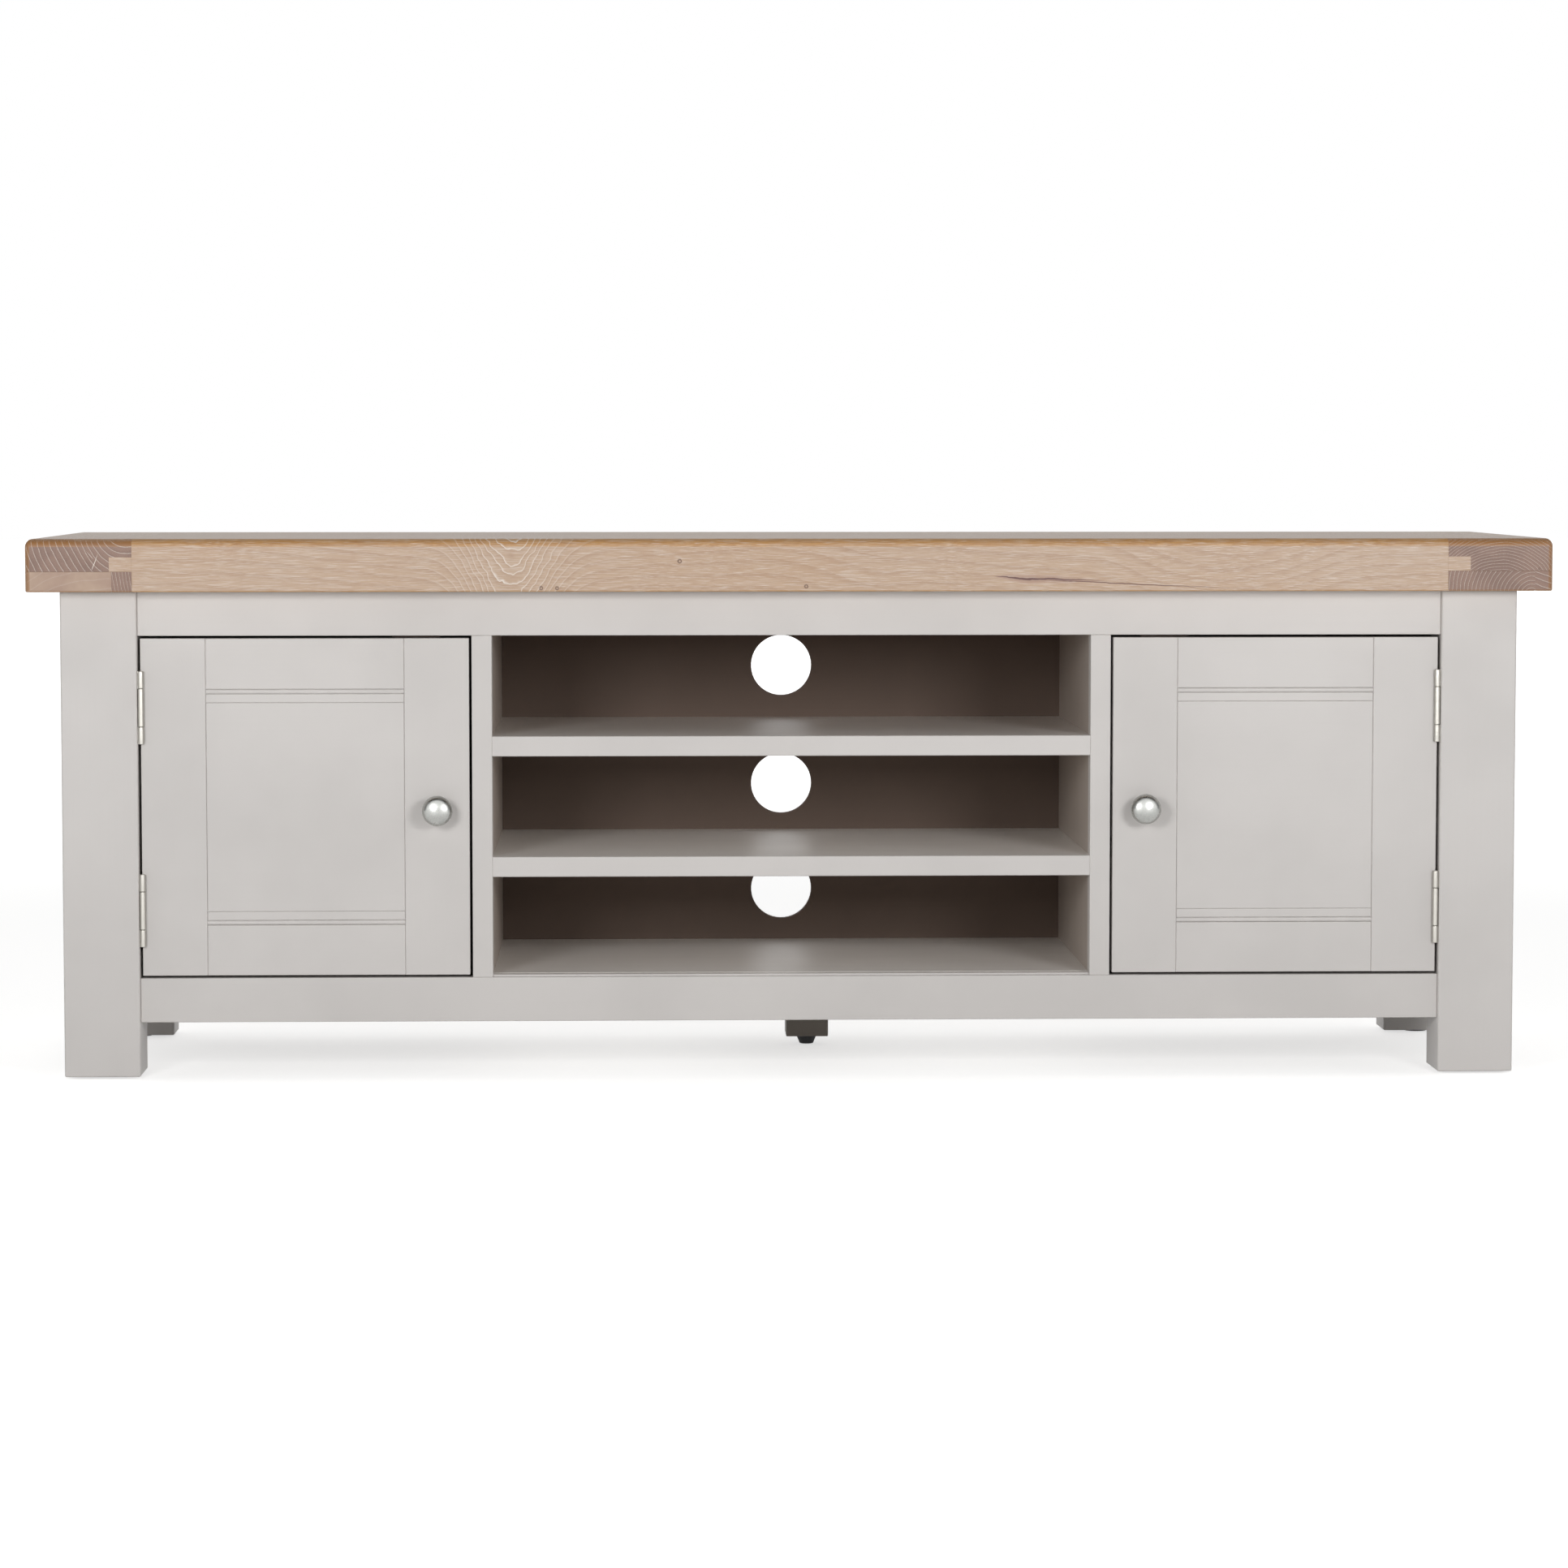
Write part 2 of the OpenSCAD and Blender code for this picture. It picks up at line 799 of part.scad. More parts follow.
module frame_leaf(low) {
    difference() {
        union() {
            knuckle(low, frame_knuckle_l);
            knuckle(low + hinge_l - frame_knuckle_l, frame_knuckle_l);
            span([leg_in - leaf_t, hinge_y + barrel_r + knuckle_gap, low],
                 [leg_in, hinge_y + barrel_r + leaf_w, low + hinge_l]);
            for (z = [low, low + hinge_l - frame_knuckle_l])
                span([leg_in - leaf_t, hinge_y, z], [leg_in, hinge_y + barrel_r + 1, z + frame_knuckle_l]);
        }
        pin_bore(low);
        leaf_holes(leg_in - leaf_t, low, 1);
    }
}

module hinge_frame_leaves() {
    color(nickel)
        for (z = hinge_z)
            frame_leaf(z);
}

module door_leaf(low) {
    difference() {
        union() {
            knuckle(low + (hinge_l - door_knuckle_l) / 2, door_knuckle_l);
            span([door_hinged, hinge_y + barrel_r + knuckle_gap, low],
                 [door_hinged + leaf_t, hinge_y + barrel_r + leaf_w - 1, low + hinge_l]);
            span([door_hinged, door_leaf_root, low + (hinge_l - door_knuckle_l) / 2],
                 [door_hinged + leaf_t, hinge_y + barrel_r + 1, low + (hinge_l + door_knuckle_l) / 2]);
        }
        pin_bore(low);
        leaf_holes(door_hinged + leaf_t, low, -1);
    }
}

module door_hinge_leaves() {
    color(nickel)
        for (z = hinge_z)
            door_leaf(z);
}

module hinge_pins() {
    color(nickel)
        for (side = [0, 1], z = hinge_z)
            mirror([side, 0, 0])
                rod_z([hinge_x, hinge_y, z], pin_dia, hinge_l);
}

module hinge_frame_leaves_left() left_side() hinge_frame_leaves();
module hinge_frame_leaves_right() hinge_frame_leaves();

// ---- Doors, drawn at the right ----

// The tongues' space in a stile, all the way along it
module door_groove(x0, x1, z0, z1) {
    span([x0, door_tongue_y - joint_slack, z0], [x1, door_tongue_y + door_tongue_t + joint_slack, z1]);
}

module door_hinge_stile() {
    color(paint)
        difference() {
            span([door_rails_to, rail_face, door_low], [door_hinged, door_back, door_high]);
            door_groove(door_rails_to - 1, door_rails_to + door_slot_d, door_low - 1, door_high + 1);
            for (z = hinge_z, up = leaf_screw_up)
                rod_x([door_hinged - leaf_screw_l, leaf_screw_y, z + up], leaf_screw_dia + hole_ease,
                      leaf_screw_l + 1);
        }
}

module door_lock_stile() {
    color(paint)
        difference() {
            span([door_free, rail_face, door_low], [door_rails_from, door_back, door_high]);
            door_groove(door_rails_from - door_slot_d, door_rails_from + 1, door_low - 1, door_high + 1);
            rod_y([knob_x, rail_face - 1, knob_z], knob_screw_dia + hole_ease, door_t + 2);
            strike_screw(hole_ease);
        }
}

module door_rail(low, high, groove_low, groove_high) {
    color(paint)
        difference() {
            union() {
                span([door_rails_from, rail_face, low], [door_rails_to, door_back, high]);
                span([door_rails_from - door_tongue_l, door_tongue_y, low],
                     [door_rails_to + door_tongue_l, door_tongue_y + door_tongue_t, high]);
            }
            door_groove(door_rails_from - door_tongue_l - 1, door_rails_to + door_tongue_l + 1,
                        groove_low, groove_high);
        }
}

module door_top_rail() {
    door_rail(door_high - door_rail_h, door_high,
              door_high - door_rail_h - 1, door_high - door_rail_h + door_slot_d);
}

module door_bottom_rail() {
    door_rail(door_low, door_low + door_rail_h,
              door_low + door_rail_h - door_slot_d, door_low + door_rail_h + 1);
}

// The panel stops short of the rails by a bead, and its tongues run on behind the beads
module door_panel() {
    color(paint)
        union() {
            span([door_rails_from, rail_face + door_panel_step, door_low + door_rail_h + bead_h],
                 [door_rails_to, rail_face + door_panel_step + door_panel_t, door_high - door_rail_h - bead_h]);
            span([door_rails_from - door_tongue_l, door_tongue_y, door_low + door_rail_h - door_tongue_l],
                 [door_rails_to + door_tongue_l, door_tongue_y + door_tongue_t,
                  door_high - door_rail_h + door_tongue_l]);
        }
}

module door_beads() {
    color(paint)
        for (z = [door_low + door_rail_h, door_high - door_rail_h - bead_h])
            span([door_rails_from, rail_face, z], [door_rails_to, rail_face + bead_d, z + bead_h]);
}

// Half the knob's outline: a neck with a flared foot, a cone, a rounded rim and a domed face. The rim's circle
// touches the dome's circle from inside, and the body ends on the line through both centres.
module knob_outline() {
    square([knob_neck_dia / 2, knob_neck_h]);
    polygon([[0, 0], [knob_neck_dia / 2 + knob_flare, 0], [knob_neck_dia / 2, knob_foot_t], [0, knob_foot_t]]);
    translate([knob_rim_at, knob_rim_h])
        intersection() {
            circle(r = knob_rim_r);
            translate([-knob_rim_at / 2, -knob_rim_r])
                square([knob_rim_at / 2 + knob_rim_r, 2 * knob_rim_r]);
        }
    intersection() {
        translate([0, knob_dome_at])
            circle(r = knob_dome_r);
        polygon([[0, knob_neck_h], [knob_neck_dia / 2, knob_neck_h], [knob_rim_at, knob_rim_h - knob_rim_r],
                 [knob_rim_at, knob_rim_h], [knob_rim_at * (1 + knob_out), knob_rim_h + knob_dome_up * knob_out],
                 [0, knob_rim_h + knob_dome_up * knob_out]]);
    }
}

module door_knob() {
    color(nickel)
        difference() {
            translate([knob_x, rail_face, knob_z])
                rotate([90, 0, 0])
                    rotate_extrude()
                        knob_outline();
            rod_y([knob_x, rail_face - knob_thread_l - 1, knob_z], knob_screw_dia + hole_ease, knob_thread_l + 2);
        }
}

module strike_screw(ease) {
    rod_y([catch_x, door_back - strike_bite, door_high - plate_drop - plate_h / 2], leaf_screw_dia + ease,
          strike_bite + plate_t);
}

// The steel plate that the magnet pulls, across the stile's back
module door_strike_plate() {
    color(steel)
        difference() {
            span([catch_x - plate_w / 2, door_back, door_high - plate_drop - plate_h],
                 [catch_x + plate_w / 2, door_back + plate_t, door_high - plate_drop]);
            strike_screw(hole_ease);
        }
}

module door_screws() {
    color(steel)
        union() {
            rod_y([knob_x, rail_face - knob_thread_l, knob_z], knob_screw_dia, knob_thread_l + door_t);
            rod_y([knob_x, door_back, knob_z], knob_head_dia, knob_head_t);
            strike_screw(0);
            for (z = hinge_z, up = leaf_screw_up)
                translate([door_hinged, leaf_screw_y, z + up])
                    rotate([0, -90, 0])
                        union() {
                            translate([0, 0, -leaf_t])
                                cylinder(d1 = leaf_head_dia, d2 = leaf_screw_dia, h = leaf_t);
                            cylinder(d = leaf_screw_dia, h = leaf_screw_l - 1);
                        }
        }
}

module door_left_hinge_stile() left_side() door_hinge_stile();
module door_left_lock_stile() left_side() door_lock_stile();
module door_left_top_rail() left_side() door_top_rail();
module door_left_bottom_rail() left_side() door_bottom_rail();
module door_left_panel() left_side() door_panel();
module door_left_beads() left_side() door_beads();
module door_left_knob() left_side() door_knob();
module door_left_strike_plate() left_side() door_strike_plate();
module door_left_screws() left_side() door_screws();
module door_left_hinge_leaves() left_side() door_hinge_leaves();
module door_right_hinge_stile() door_hinge_stile();
module door_right_lock_stile() door_lock_stile();
module door_right_top_rail() door_top_rail();
module door_right_bottom_rail() door_bottom_rail();
module door_right_panel() door_panel();
module door_right_beads() door_beads();
module door_right_knob() door_knob();
module door_right_strike_plate() door_strike_plate();
module door_right_screws() door_screws();
module door_right_hinge_leaves() door_hinge_leaves();

top_front_board();
top_middle_boards();
top_rear_board();
top_cleat_left();
top_cleat_right();
top_packing_left();
top_packing_right();
leg_front_left();
leg_front_right();
leg_rear_left();
leg_rear_right();
rail_front_top();
rail_front_bottom();
rail_rear_top();
rail_rear_bottom();
side_rails_left();
side_rails_right();
side_panel_left();
side_panel_right();
divider_left();
divider_right();
divider_stile_left();
divider_stile_right();
shelf_upper();
shelf_lower();
base_board_centre();
base_boards_side();
base_bearers();
back_panel_centre();
back_panels_side();
centre_foot();
centre_glide();
leg_glides();
fixing_battens();
frame_screws();
magnet_catches();
hinge_pins();
hinge_frame_leaves_left();
hinge_frame_leaves_right();
door_left_hinge_stile();
door_left_lock_stile();
door_left_top_rail();
door_left_bottom_rail();
door_left_panel();
door_left_beads();
door_left_knob();
door_left_strike_plate();
door_left_screws();
door_left_hinge_leaves();
door_right_hinge_stile();
door_right_lock_stile();
door_right_top_rail();
door_right_bottom_rail();
door_right_panel();
door_right_beads();
door_right_knob();
door_right_strike_plate();
door_right_screws();
door_right_hinge_leaves();
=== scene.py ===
import json
import math
import bpy
import numpy as np
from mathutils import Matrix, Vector

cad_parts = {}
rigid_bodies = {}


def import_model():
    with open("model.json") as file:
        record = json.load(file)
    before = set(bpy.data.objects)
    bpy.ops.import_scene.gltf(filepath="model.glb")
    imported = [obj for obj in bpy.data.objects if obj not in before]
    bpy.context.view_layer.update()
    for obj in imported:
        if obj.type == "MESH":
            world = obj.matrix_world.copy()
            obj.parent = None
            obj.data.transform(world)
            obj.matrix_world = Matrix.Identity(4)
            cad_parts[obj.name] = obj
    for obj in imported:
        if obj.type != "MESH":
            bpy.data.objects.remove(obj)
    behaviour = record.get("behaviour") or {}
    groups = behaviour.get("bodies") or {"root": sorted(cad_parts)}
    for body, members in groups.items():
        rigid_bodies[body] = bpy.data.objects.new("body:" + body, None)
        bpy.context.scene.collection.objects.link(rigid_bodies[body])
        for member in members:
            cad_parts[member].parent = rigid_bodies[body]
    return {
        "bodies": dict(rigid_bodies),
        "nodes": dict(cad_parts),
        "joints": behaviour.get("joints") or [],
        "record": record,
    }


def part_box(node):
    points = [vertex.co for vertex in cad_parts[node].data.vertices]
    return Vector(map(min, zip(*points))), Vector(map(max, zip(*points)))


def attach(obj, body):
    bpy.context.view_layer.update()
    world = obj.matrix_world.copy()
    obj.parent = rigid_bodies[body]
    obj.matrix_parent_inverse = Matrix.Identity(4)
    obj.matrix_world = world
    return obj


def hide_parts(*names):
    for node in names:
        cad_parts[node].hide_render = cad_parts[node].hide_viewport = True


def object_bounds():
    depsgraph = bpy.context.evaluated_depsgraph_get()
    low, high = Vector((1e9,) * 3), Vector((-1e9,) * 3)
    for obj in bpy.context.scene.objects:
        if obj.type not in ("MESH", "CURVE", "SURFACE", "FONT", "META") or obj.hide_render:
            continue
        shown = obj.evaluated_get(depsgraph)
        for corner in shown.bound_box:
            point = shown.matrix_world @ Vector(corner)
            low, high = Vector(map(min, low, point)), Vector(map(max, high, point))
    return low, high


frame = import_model()
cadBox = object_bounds()
cadNodes = frame["nodes"]
mm = 0.001
print("frame loaded:", len(cadNodes), "nodes")


def unitVectors(vectors):
    length = np.linalg.norm(vectors, axis=-1, keepdims=True)
    return vectors / np.maximum(length, 1e-12)


# Quads between neighbouring rings of a grid. A hollow grid joins its last ring to its first,
# any other gets an n-sided face on each end.
def gridFaces(rings, around, first, hollow=False):
    ring, spoke = np.meshgrid(np.arange(rings if hollow else rings - 1), np.arange(around), indexing="ij")
    nextSpoke, nextRing = (spoke + 1) % around, (ring + 1) % rings
    quads = np.stack([ring * around + spoke, ring * around + nextSpoke,
                      nextRing * around + nextSpoke, nextRing * around + spoke], axis=-1)
    faces = (quads.reshape(-1, 4) + first).tolist()
    if hollow:
        return faces
    startCap = (np.arange(around)[::-1] + first).tolist()
    endCap = (np.arange(around) + (rings - 1) * around + first).tolist()
    return faces + [startCap, endCap]


# A board: a rectangle with round corners, carried along one axis.
# Corner: centre + r (cos a, sin a).  End: each side draws in by d (1 - cos t) while its place
# runs out by R sin t, so every end arris is a quarter round.
# corners: radii at ++, -+, --, +- of the two cross axes.
# startEnd, finishEnd: (R, draw-in of sides +, +, -, - of the cross axes), or one radius for all.
def boardGrid(low, high, along, corners, startEnd, finishEnd=None, steps=5, fullWear=1 * mm):
    crossA, crossB = [(1, 2), (2, 0), (0, 1)][along]
    corners = np.broadcast_to(np.array(corners, float), 4)
    turn = np.linspace(0, math.pi / 2, steps + 1)
    share = np.tile(turn / (math.pi / 2), 4)
    quarter = np.repeat(np.arange(4), steps + 1)
    angle = np.tile(turn, 4) + quarter * math.pi / 2
    signA = np.where((quarter == 0) | (quarter == 3), 1.0, -1.0)
    signB = np.where(quarter < 2, 1.0, -1.0)
    edgeA = np.where(signA > 0, high[crossA], low[crossA])
    edgeB = np.where(signB > 0, high[crossB], low[crossB])
    halves = []
    for end, place, inward, tilt in ((startEnd, low[along], 1, turn[::-1]),
                                     (finishEnd or startEnd, high[along], -1, turn)):
        reach, draws = end if isinstance(end, tuple) else (end, (end,) * 4)
        draws = np.array(draws, float)
        tilt = tilt[:, None]
        drawA = draws[np.where(signA > 0, 0, 2)] * (1 - np.cos(tilt))
        drawB = draws[np.where(signB > 0, 1, 3)] * (1 - np.cos(tilt))
        radius = np.maximum(corners[quarter] - np.maximum(drawA, drawB), 2e-6)
        points = np.zeros(radius.shape + (3,))
        points[..., crossA] = edgeA - signA * (drawA + radius) + radius * np.cos(angle)
        points[..., crossB] = edgeB - signB * (drawB + radius) + radius * np.sin(angle)
        points[..., along] = place + inward * reach * (1 - np.sin(tilt))
        cornerWear = np.sin(share * math.pi) * np.cos(tilt) * np.clip(corners[quarter] / fullWear, 0, 1)
        endWear = np.sin(2 * tilt) * np.clip(draws[quarter] * (1 - share) + draws[(quarter + 1) % 4] * share,
                                             0, fullWear) / fullWear
        halves.append((points, np.maximum(cornerWear, endWear)))
    (pointsA, wearA), (pointsB, wearB) = halves
    return np.concatenate([pointsA, pointsB]), np.clip(np.concatenate([wearA, wearB]), 0, 1), False


# A turned shape: radius and height are arrays along the profile, swept round an axis.
# Point: centre + height * axis + radius (cos a, sin a) across it.
def turnedGrid(centre, axis, radius, height, around=64, hollow=False):
    radius, height = np.array(radius, float), np.array(height, float)
    axis = unitVectors(np.array(axis, float))
    helper = np.array([0.0, 0.0, 1.0]) if abs(axis[2]) < 0.9 else np.array([1.0, 0.0, 0.0])
    across = unitVectors(np.cross(helper, axis))
    third = np.cross(axis, across)
    angle = np.linspace(0, 2 * math.pi, around, endpoint=False)
    circle = np.cos(angle)[:, None] * across + np.sin(angle)[:, None] * third
    points = np.array(centre) + height[:, None, None] * axis + radius[:, None, None] * circle
    return points, np.zeros(points.shape[:2]), hollow


screwLook = {"recess": 0.3, "armLong": 0.62, "armHalf": 0.13, "sideSlope": 0.06, "endSlope": 0.08,
             "foot": 0.96, "tip": 0.02, "rings": 16, "around": 48}


# A screw head with a cross recess: height = dome (1 - r^2) - depth * cross, over a short straight skirt.
def screwHeadGrid(centre, axis, radius, dome, skirt):
    look = screwLook
    share = np.linspace(1.0, look["tip"], look["rings"])
    height = skirt + dome * (1 - share ** 2)
    points, wear, hollow = turnedGrid(centre, axis, radius * share, height, look["around"])
    angle = np.linspace(0, 2 * math.pi, look["around"], endpoint=False)
    x, y = share[:, None] * np.cos(angle), share[:, None] * np.sin(angle)
    nearArm = np.clip((look["armHalf"] - np.minimum(abs(x), abs(y))) / look["sideSlope"] + 0.5, 0, 1)
    inReach = np.clip((look["armLong"] - share) / look["endSlope"] + 0.5, 0, 1)[:, None]
    axis = unitVectors(np.array(axis, float))
    points = points - (nearArm * inReach * look["recess"] * radius)[..., None] * axis
    foot = turnedGrid(centre, axis, [radius * look["foot"]], [0.0], look["around"])[0]
    return np.concatenate([foot, points]), np.zeros((look["rings"] + 1, look["around"])), hollow


# Puts grids into one mesh, with normals weighted by face area so that flat faces stay flat.
def meshPiece(name, grids, grains=None):
    faces, count = [], 0
    for points, wear, hollow in grids:
        faces += gridFaces(points.shape[0], points.shape[1], count, hollow)
        count += points.shape[0] * points.shape[1]
    places = np.concatenate([points.reshape(-1, 3) for points, wear, hollow in grids])
    worn = np.concatenate([wear.reshape(-1) for points, wear, hollow in grids])
    mesh = bpy.data.meshes.new(name)
    mesh.from_pydata(places.tolist(), [], faces)
    mesh.attributes.new("worn", "FLOAT", "POINT").data.foreach_set("value", worn.astype(np.float32))
    if grains:
        values = np.concatenate([grain(grid[0].reshape(-1, 3)) for grid, grain in zip(grids, grains)])
        rings = mesh.attributes.new("grain", "FLOAT_VECTOR", "POINT")
        rings.data.foreach_set("vector", values.astype(np.float32).reshape(-1))
    mesh.shade_smooth()
    mesh.update()
    faceNormal, faceArea = np.zeros(len(faces) * 3), np.zeros(len(faces))
    mesh.polygons.foreach_get("normal", faceNormal)
    mesh.polygons.foreach_get("area", faceArea)
    size = np.array([len(face) for face in faces])
    corner = np.concatenate([np.array(face) for face in faces])
    weighted = np.repeat(faceNormal.reshape(-1, 3) * faceArea[:, None], size, axis=0)
    normals = np.zeros_like(places)
    np.add.at(normals, corner, weighted)
    mesh.normals_split_custom_set_from_vertices(unitVectors(normals).tolist())
    piece = bpy.data.objects.new(name, mesh)
    bpy.context.scene.collection.objects.link(piece)
    return piece


def settle(piece, node, body, slot, *materials):
    for material in materials:
        piece.data.materials.append(material)
    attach(piece, body)
    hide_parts(node)
    return piece


class Nodes:
    def __init__(self, owner):
        owner.use_nodes = True
        self.owner, self.tree = owner, owner.node_tree
        self.tree.nodes.clear()

    def add(self, kind, inputs=None, **settings):
        made = self.tree.nodes.new(kind)
        for key, value in settings.items():
            setattr(made, key, value)
        for key, value in (inputs or {}).items():
            self.feed(made.inputs[key], value)
        return made

    def feed(self, socket, value):
        if isinstance(value, bpy.types.NodeSocket):
            self.tree.links.new(value, socket)
        else:
            socket.default_value = value

    def math(self, operation, *values, clamp=False):
        made = self.add("ShaderNodeMath", operation=operation, use_clamp=clamp)
        for socket, value in zip(made.inputs, values):
            self.feed(socket, value)
        return made.outputs[0]

    def plus(self, first, second):
        return self.math("ADD", first, second)

    def minus(self, first, second):
        return self.math("SUBTRACT", first, second)

    def times(self, first, second):
        return self.math("MULTIPLY", first, second)

    def span(self, value, low, high, toLow=0.0, toHigh=1.0):
        made = self.add("ShaderNodeMapRange", clamp=True, interpolation_type="SMOOTHSTEP")
        for key, given in zip(("Value", "From Min", "From Max", "To Min", "To Max"),
                              (value, low, high, toLow, toHigh)):
            self.feed(made.inputs[key], given)
        return made.outputs["Result"]

    def mix(self, factor, first, second):
        made = self.add("ShaderNodeMix", data_type="RGBA", clamp_factor=True)
        self.feed(made.inputs[0], factor)
        self.feed(made.inputs[6], first)
        self.feed(made.inputs[7], second)
        return made.outputs[2]

    def place(self):
        return self.add("ShaderNodeTexCoord").outputs["Object"]

    def stretched(self, vector, scale):
        return self.add("ShaderNodeMapping", {"Vector": vector, "Scale": scale}).outputs[0]

    def noise(self, vector, scale, detail, roughness):
        made = self.add("ShaderNodeTexNoise", {"Vector": vector, "Scale": scale, "Detail": detail,
                                               "Roughness": roughness})
        return made.outputs["Fac"]

    def attribute(self, name, output="Fac"):
        return self.add("ShaderNodeAttribute", attribute_name=name).outputs[output]

    def bump(self, height, strength, distance):
        made = self.add("ShaderNodeBump", {"Height": height, "Strength": strength, "Distance": distance})
        return made.outputs[0]

    def finish(self, **inputs):
        shader = self.add("ShaderNodeBsdfPrincipled", inputs)
        output = self.add("ShaderNodeOutputMaterial")
        self.tree.links.new(shader.outputs[0], output.inputs[0])
        return self.owner


# 0-255 screen values to linear light
def colour(red, green, blue):
    linear = [(c / 255 / 12.92) if c < 11 else ((c / 255 + 0.055) / 1.055) ** 2.4 for c in (red, green, blue)]
    return (*linear, 1.0)


# The same colour, lighter or darker
def shade(tone, factor, lift=0.0):
    return tuple(min(1.0, c * factor + lift) for c in tone[:3]) + (1.0,)


# Each tone: colour, gloss. The bay tone is darker and browner than the front, painted shade for the inside of
# the bays; the back tone is darker still, painted shade for the bays' backs; the shelf tone is paler than the
# front, painted light for the lit shelf tops.
paintTones = {"front": ((213, 209, 206), 0.4), "bay": ((186, 175, 166), 0.25),
              "shelf": ((238, 233, 228), 0.35), "back": ((114, 99, 90), 0.03),
              "inside": ((160, 152, 144), 0.3)}
paintLook = {"roughness": 0.42, "peelSize": 1.6 * mm, "brushAcross": 2.2 * mm, "brushAlong": 160 * mm,
             "cloudScale": 5.0, "dustScale": 900.0, "wearScale": 60.0, "thick": 0.93, "thin": 1.08,
             "relief": 0.08 * mm}


# Satin paint: a faint brush drag along the board, orange peel, and a thinner film on the arrises.
def paintMaterial(tone, along):
    n = Nodes(bpy.data.materials.new(f"paint_{tone}_{'xyz'[along]}"))
    look = paintLook
    shown, gloss = paintTones[tone]
    place = n.place()
    brushScale = [1 / look["brushAcross"]] * 3
    brushScale[along] = 1 / look["brushAlong"]
    brush = n.noise(n.stretched(place, brushScale), 1.0, 3.0, 0.6)
    peel = n.noise(place, 1 / look["peelSize"], 2.0, 0.5)
    cloud = n.noise(place, look["cloudScale"], 3.0, 0.55)
    dust = n.noise(place, look["dustScale"], 2.0, 0.7)
    base = colour(*shown)
    darker = shade(base, look["thick"])
    film = n.mix(n.span(cloud, 0.35, 0.7), base, darker)
    film = n.mix(n.span(brush, 0.45, 0.75, 0.0, 0.12), film, darker)
    rub = n.span(n.noise(place, look["wearScale"], 4.0, 0.6), 0.45, 0.7)
    wear = n.times(n.attribute("worn"), rub)
    film = n.mix(n.times(wear, 0.7), film, shade(base, look["thin"]))
    film = n.mix(n.span(dust, 0.62, 0.8, 0.0, 0.12), film, darker)
    height = n.plus(n.times(peel, 0.5), n.times(brush, 0.3))
    rough = n.span(cloud, 0.3, 0.7, look["roughness"] - 0.04, look["roughness"] + 0.06)
    return n.finish(**{"Base Color": film, "Roughness": rough, "Specular IOR Level": gloss,
                       "Normal": n.bump(height, 0.2, look["relief"])})


oakLook = {"pale": (193, 167, 144), "deep": (152, 118, 94), "warm": (186, 151, 119), "lime": (228, 218, 208),
           "endPale": (144, 114, 99), "endDeep": (104, 76, 64), "strip": (168, 139, 121),
           "arris": (206, 160, 102), "arrisDeep": (160, 114, 70), "cleatArris": (158, 112, 66),
           "poreAcross": 0.36 * mm, "poreAlong": 20 * mm, "flow": 9 * mm, "flowScale": 3.6,
           "drift": (2.2, 0.035, 0.035), "ripple": (9.0, 0.25, 0.25), "rippleRings": 0.6,
           "broad": (3.0, 0.12, 0.12), "patchScale": 22.0, "speckScale": 1500.0,
           "roughness": 0.46, "relief": 0.25 * mm}


